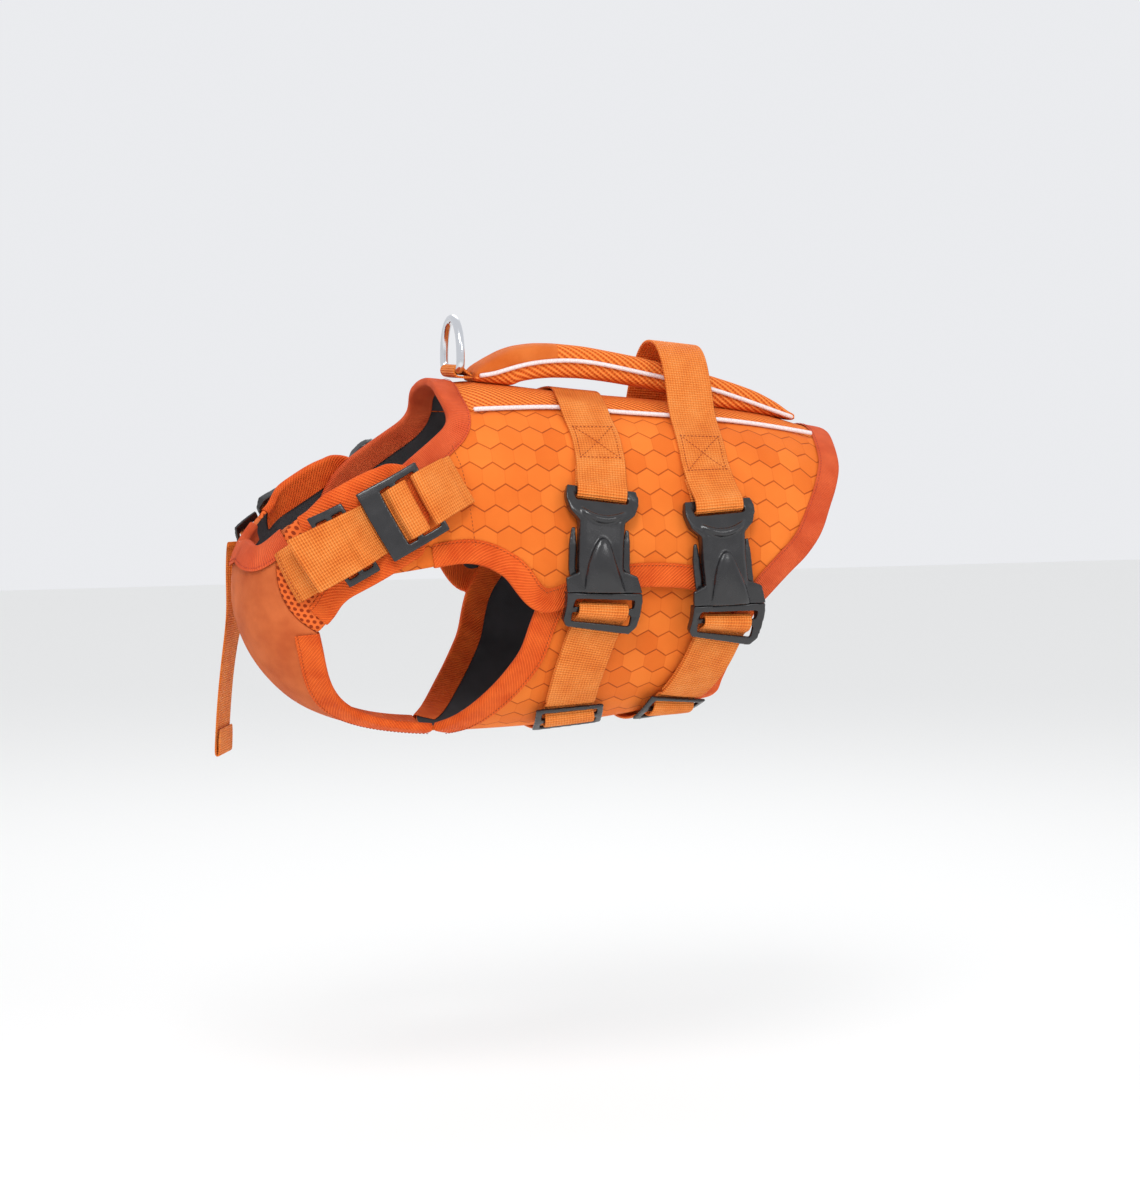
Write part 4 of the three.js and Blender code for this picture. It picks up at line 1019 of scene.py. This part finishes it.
# The raised dome and the crescent rim on a buckle's upper half
def raised_patch(name, place, edges, low, high, half):
    parts = np.linspace(-1, 1, 13)
    steps = np.linspace(0, 1, 11)[:, None]
    start, end = edges(parts)
    t = start + (end - start) * steps
    across = np.broadcast_to(parts * half, t.shape)
    rise = (1 - np.abs(parts) ** 4) * np.sin(np.pi * (steps * 0.92 + 0.04)) ** 0.35
    top = place(t, across, low + (high - low) * rise)
    under = place(t, across, np.full(t.shape, low - 1.2))
    rings = np.concatenate([top, under[:, ::-1]], axis=1)
    return strip_mesh(name, rings, np.zeros(rings.shape[:2] + (2,)))


def dome_edges(parts):
    return 41.6 + 43 * parts ** 2 * 0.98, np.full(parts.shape, 84.4)


def crescent_edges(parts):
    return 24.5 - 5 * parts ** 2, 30.5 - 7 * parts ** 2


for name, place in buckle_places.items():
    dome = raised_patch(f"{name}_dome", place, dome_edges, 12.6, 19.0, 18.5)
    rim = raised_patch(f"{name}_rim", place, crescent_edges, 12.4, 16.4, 20)
    moulded(f"{name}_female", (dome, rim))
    moulded(f"{name}_male")


# Shoulder straps
# On the left a ladder lock joins the two webs, and the spare web folds back on itself and is
# held by a slider. On the right a side-release buckle joins them.
pad_top = pad_rise + bound_thick
on_pad = pad_top + on_panel
lock = 62
hidden = 116
fold_end = 150
fold_high = 29
seam_end = 8.6
near_slider = shoulder_length - 27
make_web("shoulder_web_rear_left", on_left_shoulder,
         [(2, 11), (12, 11.4), (lock - 42, 14.4), (lock - 32, 17), (lock - 24, 17.2), (lock - 20, 18),
          (lock - 19, 21.4), (lock - 20.4, 25), (lock - 24, 26), (lock - 32, 23), (lock - 42, 18.6),
          (lock - 52, 15.4)])
make_web("shoulder_web_folded_left", on_left_shoulder,
         [(lock - 13, 21.4), (lock - 9, 24.9), (lock - 1, 25.4), (lock + 3.4, 23.4), (lock + 5, 19.4),
          (lock + 8.4, 17.2), (lock + 26, 17), (lock + 34, 19), (hidden - 10, fold_high - 0.4),
          (hidden - 4, fold_high - 2.4), (hidden + 2, fold_high), (fold_end - 3, fold_high),
          (fold_end - 0.6, fold_high - 0.6), (fold_end, fold_high - 1.8),
          (fold_end - 0.6, fold_high - 3), (fold_end - 3, fold_high - 3.6),
          (hidden + 6, fold_high - 3.6)])
make_web("shoulder_web_chest_left", on_left_shoulder,
         over_slider(hidden, on_pad + 0.8)[1:] + [(fold_end, 12.8), (shoulder_length - 4, seam_end)])
make_web("shoulder_web_rear_right", on_right_shoulder,
         around_top_bar(shoulder_start, 11.6, 5.9)[2:-1])
make_web("shoulder_web_chest_right", on_right_shoulder,
         around_inner_bar(shoulder_start, near_slider, 10, 2.8)[2:-2]
         + [(near_slider - 14, 13.4), (near_slider - 9.6, 12.8), (near_slider - 5, 21.9),
            (near_slider + 5, 21.9), (near_slider + 9.6, 11.4), (shoulder_length - 4, seam_end)])


# Hanging tail
# The spare end of the right shoulder web passes over its slider and hangs free in front of the
# chest. Its end is folded back once and sewn.
# Columns: out from the chest, height, drift to the side, and twist in degrees
tail_steps = np.array([(0, 16, 0, 0), (0.8, -14, 1, 0), (5, -34, 3, 18), (9, -56, 6, 30), (14, -90, 11, 33),
                       (17, -130, 16, 33), (18, -164, 20, 33), (18, -172, 21, 33), (17.4, -174, 21, 33),
                       (16.2, -174.6, 21, 33), (15, -173.6, 21, 33), (14.8, -172, 21, 33),
                       (14.6, -150, 18.5, 33)], float)
start = on_right_shoulder(near_slider + 8, 0, 24)
outwards = unit((start - on_right_shoulder(near_slider + 8, 0, 0)) * (1, 1, 0))


# Places on the tail, turned by its twist about the upright line through its start
def hanging(out, height, across, twist):
    out, height, across, twist = np.broadcast_arrays(out, height, across, np.radians(twist))
    facing_x = outwards[0] * np.cos(twist) - outwards[1] * np.sin(twist)
    facing_y = outwards[0] * np.sin(twist) + outwards[1] * np.cos(twist)
    return start + np.stack([facing_x * out + facing_y * across, facing_y * out - facing_x * across,
                             height], axis=-1)


def on_tail(out, across, height):
    return hanging(out, height, across - tail_steps[:, 2:3], tail_steps[:, 3:])


tail, tail_length = weave_strip("shoulder_tail_right", on_tail, tail_steps[:, :2], web_rows, 2)
tail_face = 19
end_drift = 19.5
end_twist = 33
for height in (-154, -158, -168):
    stitch_rows["orange"].append(hanging(tail_face, height, np.linspace(-19, 19, 12) - end_drift,
                                         end_twist))


# Handle
# A foam-filled grab handle is sewn down at both ends of the spine. The front of its cap is smooth
# cloth, the rest is spacer mesh, and piping runs in the seam between cap and sides.
on_mesh = -100
# Columns: x, the height of the top, and the height of the underside or where it rests on the mesh
handle_sides = np.array([(-143, 30, on_mesh), (-138, 36, on_mesh), (-126, 43, on_mesh),
                         (-112, 50, on_mesh), (-100, 53.6, 21.5), (-84, 55.6, 24), (-67, 55.5, 25),
                         (-38, 52.7, 24), (-12, 48, 20.6), (16, 42.6, 16), (45, 35.6, 9.5),
                         (64, 31, 4.8), (80, 26.8, on_mesh), (104, 19.6, on_mesh),
                         (127, 11.7, on_mesh), (146, 2, on_mesh), (157, -6, on_mesh),
                         (163, -9, on_mesh)], float)
# Columns: x and the height of the seam
handle_piping = np.array([(-139, 27.5), (-126, 29), (-115, 32.5), (-100, 36.5), (-84, 39.4),
                          (-56, 41.1), (-30, 38), (-8, 33.5), (30, 25.2), (54, 20.4), (78, 14.7),
                          (112, 4), (144, -7.4), (158, -12)], float)
half_handle = 20
spine_lines = np.linspace(0, len(girth_lines) - 1, 200)
spine_sizes = girth_line(spine_lines)
stations = np.sort(np.concatenate([handle_sides[:, 0], (handle_sides[1:, 0] + handle_sides[:-1, 0]) / 2]))
tops = np.interp(stations, handle_sides[:, 0], handle_sides[:, 1])
lows = np.maximum(np.interp(stations, handle_sides[:, 0], handle_sides[:, 2]),
                  np.interp(stations, spine_sizes[:, 0], spine_sizes[:, 1]) + 8 + clear + 0.3)
pressed = 2.4
lows = lows - pressed * (np.interp(stations, handle_sides[:, 0], handle_sides[:, 2]) < 0)
seams = np.interp(stations, handle_piping[:, 0], handle_piping[:, 1])
seams = np.clip(seams, lows + 2.5, tops - 4)
edge = np.minimum(4, (tops - lows) / 4)
rings = []
for x, top, low, seam, round_edge in zip(stations, tops, lows, seams, edge):
    half = [(0, low), (7, low), (16, low + 0.4), (half_handle - 0.4, low + round_edge),
            (half_handle, (seam + low) / 2), (half_handle, seam),
            (half_handle + 0.2, (seam + top - round_edge) / 2), (half_handle - 0.6, top - round_edge),
            (15, top - 0.6), (7, top), (0, top + 0.2)]
    rings.append([(x, -y, z) for y, z in half] + [(x, y, z) for y, z in half[-2:0:-1]])
rings = np.array(rings)
half_around = np.cumsum(np.linalg.norm(np.diff(rings[:, :11, 1:], axis=1, prepend=rings[:, :1, 1:]), axis=2),
                        axis=1)
around = np.concatenate([half_around, half_around[:, -2:0:-1]], axis=1)
places = np.stack([rings[..., 0], around], axis=-1)
handle = strip_mesh("handle_padded", rings, places * mm)
handle.data.materials.append(spacer_mesh)
handle.data.materials.append(make_smooth_cloth("handle_cloth", tint(232, 108, 34), tint(252, 136, 60)))
front_patch = -62
seam_row_index = 5
for polygon in handle.data.polygons:
    corners = [index % rings.shape[1] for index in polygon.vertices]
    above_seam = min(min(corner, 20 - corner) for corner in corners) >= seam_row_index
    if above_seam and polygon.center.x < front_patch * mm:
        polygon.material_index = 1
subdivide(handle, 2)
dress(handle, "handle")


# D-ring and its tab
# A chromed wire ring turns in a folded tab of webbing that is sewn down in front of the handle.
def make_chrome():
    material, tree, shader = start_material("chrome", tint(214, 216, 220), 0.14)
    shader.inputs["Metallic"].default_value = 1.0
    scuffs = blotches(tree, 6 * mm, 5.0)
    rough = add_node(tree, "ShaderNodeMapRange", scuffs, 0.3, 0.7, 0.08, 0.24)
    tree.links.new(rough, shader.inputs["Roughness"])
    return material


ring = quads_of("d_ring", "d_ring_wire", crease=0.0)
ring.data.materials.append(make_chrome())
subdivide(ring, 2)
swell(ring, 1.0 * mm)
dress(ring, "d_ring", "ring")

ring_at = np.array([-158, 0, 31.5])
tab_path = np.array([(13, -5.9), (6, -5.5), (0, -5.1), (-3.2, -4), (-5.1, 0), (-3.6, 3.6), (0, 5.1),
                     (3.6, 3.4), (7, -1), (13, -4.2)], float)
tab_rows = np.array([-1, -0.93, 0, 0.93, 1]) * 20


def at_ring(x, y, z):
    return ring_at + np.stack(np.broadcast_arrays(x, y, z), axis=-1)


weave_strip("d_ring_tab", at_ring, tab_path, tab_rows, 2)


# Stitching
# Every binding, strap end and seam is sewn with thick bonded thread, one short stitch after
# another. The rows were gathered with the pieces that they hold.
side_seam = even([(2.77, -55.9), (3.38, -62.1), (4, -73.7), (4.39, -83.8)], 24)
side_row = form(side_seam, side_lift(side_seam) + (side_foam + 0.3))
stitch_rows["orange"] += [side_row, side_row * (1, -1, 1)]
web_edge = np.linspace(-21, 21, 12)
for place in (on_left_shoulder, on_right_shoulder):
    stitch_rows["orange"].append(place(shoulder_length - 8, web_edge, seam_end + 2.2))


def make_stitch_tree():
    tree = bpy.data.node_groups.new("stitches", "GeometryNodeTree")
    tree.is_modifier = True
    sockets = (("Rows", "NodeSocketGeometry"), ("Pitch", "NodeSocketFloat"), ("Length", "NodeSocketFloat"),
               ("Thickness", "NodeSocketFloat"), ("Thread", "NodeSocketMaterial"))
    for label, kind in sockets:
        tree.interface.new_socket(label, in_out="INPUT", socket_type=kind)
    tree.interface.new_socket("Stitches", in_out="OUTPUT", socket_type="NodeSocketGeometry")
    given = tree.nodes.new("NodeGroupInput").outputs
    curve = add_node(tree, "GeometryNodeMeshToCurve", given[0])
    points = add_node(tree, "GeometryNodeResampleCurve", mode="LENGTH",
                      named=(("Curve", curve), ("Length", given[1])))
    grain = add_node(tree, "GeometryNodeMeshIcoSphere", named=(("Radius", 0.5), ("Subdivisions", 1)))
    size = add_node(tree, "ShaderNodeCombineXYZ", given[2], given[3], given[3])
    tangent = add_node(tree, "GeometryNodeInputTangent")
    turn = add_node(tree, "FunctionNodeAlignRotationToVector", axis="X", named=(("Vector", tangent),))
    spread = add_node(tree, "GeometryNodeInstanceOnPoints",
                      named=(("Points", points), ("Instance", grain), ("Rotation", turn), ("Scale", size)))
    real = add_node(tree, "GeometryNodeRealizeInstances", spread)
    smooth = add_node(tree, "GeometryNodeSetShadeSmooth", named=(("Geometry", real),))
    threaded = add_node(tree, "GeometryNodeSetMaterial",
                        named=(("Geometry", smooth), ("Material", given[4])))
    result = tree.nodes.new("NodeGroupOutput")
    tree.links.new(threaded, result.inputs[0])
    return tree


def make_thread(name, dark, light):
    material, tree, shader = start_material(name, light, 0.6)
    ramp(tree, shader, blotches(tree, 2 * mm), [(0.3, dark), (0.7, light)])
    return material


stitch_tree = make_stitch_tree()
identifiers = {item.name: item.identifier for item in stitch_tree.interface.items_tree
               if item.in_out == "INPUT"}
threads = {
    "coral": ("coral_tape", make_thread("coral_thread", tint(178, 62, 44), tint(204, 82, 60))),
    "orange": ("webbing", make_thread("orange_thread", tint(150, 60, 24), tint(186, 84, 38))),
}
for thread, (slot, material) in threads.items():
    points = []
    edges = []
    for row in stitch_rows[thread]:
        edges += [(len(points) + index, len(points) + index + 1) for index in range(len(row) - 1)]
        points += (row * mm).tolist()
    rows_mesh = bpy.data.meshes.new(f"{thread}_rows")
    rows_mesh.from_pydata(points, edges, [])
    rows = bpy.data.objects.new(f"{thread}_rows", rows_mesh)
    bpy.context.scene.collection.objects.link(rows)
    modifier = rows.modifiers.new("stitches", "NODES")
    modifier.node_group = stitch_tree
    for label, value in (("Pitch", 3.3 * mm), ("Length", 2.6 * mm), ("Thickness", 0.75 * mm),
                         ("Thread", material)):
        modifier[identifiers[label]] = value
    bpy.context.view_layer.update()
    sewn = bpy.data.meshes.new_from_object(rows.evaluated_get(bpy.context.evaluated_depsgraph_get()))
    bpy.data.objects.remove(rows)
    stitching = bpy.data.objects.new(f"{thread}_stitching", sewn)
    bpy.context.scene.collection.objects.link(stitching)
    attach(stitching, "jacket")


# Studio
# A plain pale floor under the jacket, broad soft lights, and the photograph's point of view.
floor_level = -0.66
floor_mesh = bpy.data.meshes.new("floor")
floor_mesh.from_pydata([(-6, -6, floor_level), (6, -6, floor_level), (6, 6, floor_level),
                        (-6, 6, floor_level)], [], [(0, 1, 2, 3)])
floor = bpy.data.objects.new("floor", floor_mesh)
bpy.context.scene.collection.objects.link(floor)
floor_mesh.materials.append(start_material("pale_paper", tint(246, 246, 244), 0.9)[0])

world = bpy.data.worlds.new("studio")
world.use_nodes = True
world.node_tree.nodes["Background"].inputs["Color"].default_value = tint(240, 241, 244)
world.node_tree.nodes["Background"].inputs["Strength"].default_value = 0.95
bpy.context.scene.world = world


def add_light(name, location, target, size, power):
    data = bpy.data.lights.new(name, "AREA")
    data.shape = "DISK"
    data.size = size
    data.energy = power
    light = bpy.data.objects.new(name, data)
    bpy.context.scene.collection.objects.link(light)
    light.location = location
    light.rotation_euler = (Vector(target) - Vector(location)).to_track_quat("-Z", "Y").to_euler()


middle = (-0.05, 0, -0.12)
add_light("key_light", (-0.9, -1.9, 1.6), middle, 0.9, 26)
add_light("fill_light", (0.95, -2.2, 0.85), middle, 0.6, 7)
add_light("back_light", (0.6, 1.7, 1.4), middle, 1.4, 10)

bpy.context.scene.view_settings.view_transform = "Standard"
camera_data = bpy.data.cameras.new("camera")
camera_data.sensor_fit = "VERTICAL"
camera_data.sensor_height = 36
camera_data.lens = 100
camera = bpy.data.objects.new("camera", camera_data)
bpy.context.scene.collection.objects.link(camera)
view_target = Vector((-0.048, 0, -0.175))
view_azimuth = math.radians(-19)
view_rise = math.radians(5)
view_distance = 3.0
toward = Vector((math.sin(view_azimuth) * math.cos(view_rise), -math.cos(view_azimuth) * math.cos(view_rise),
                 math.sin(view_rise)))
camera.location = view_target + view_distance * toward
camera.rotation_euler = (-toward).to_track_quat("-Z", "Y").to_euler()
bpy.context.scene.camera = camera
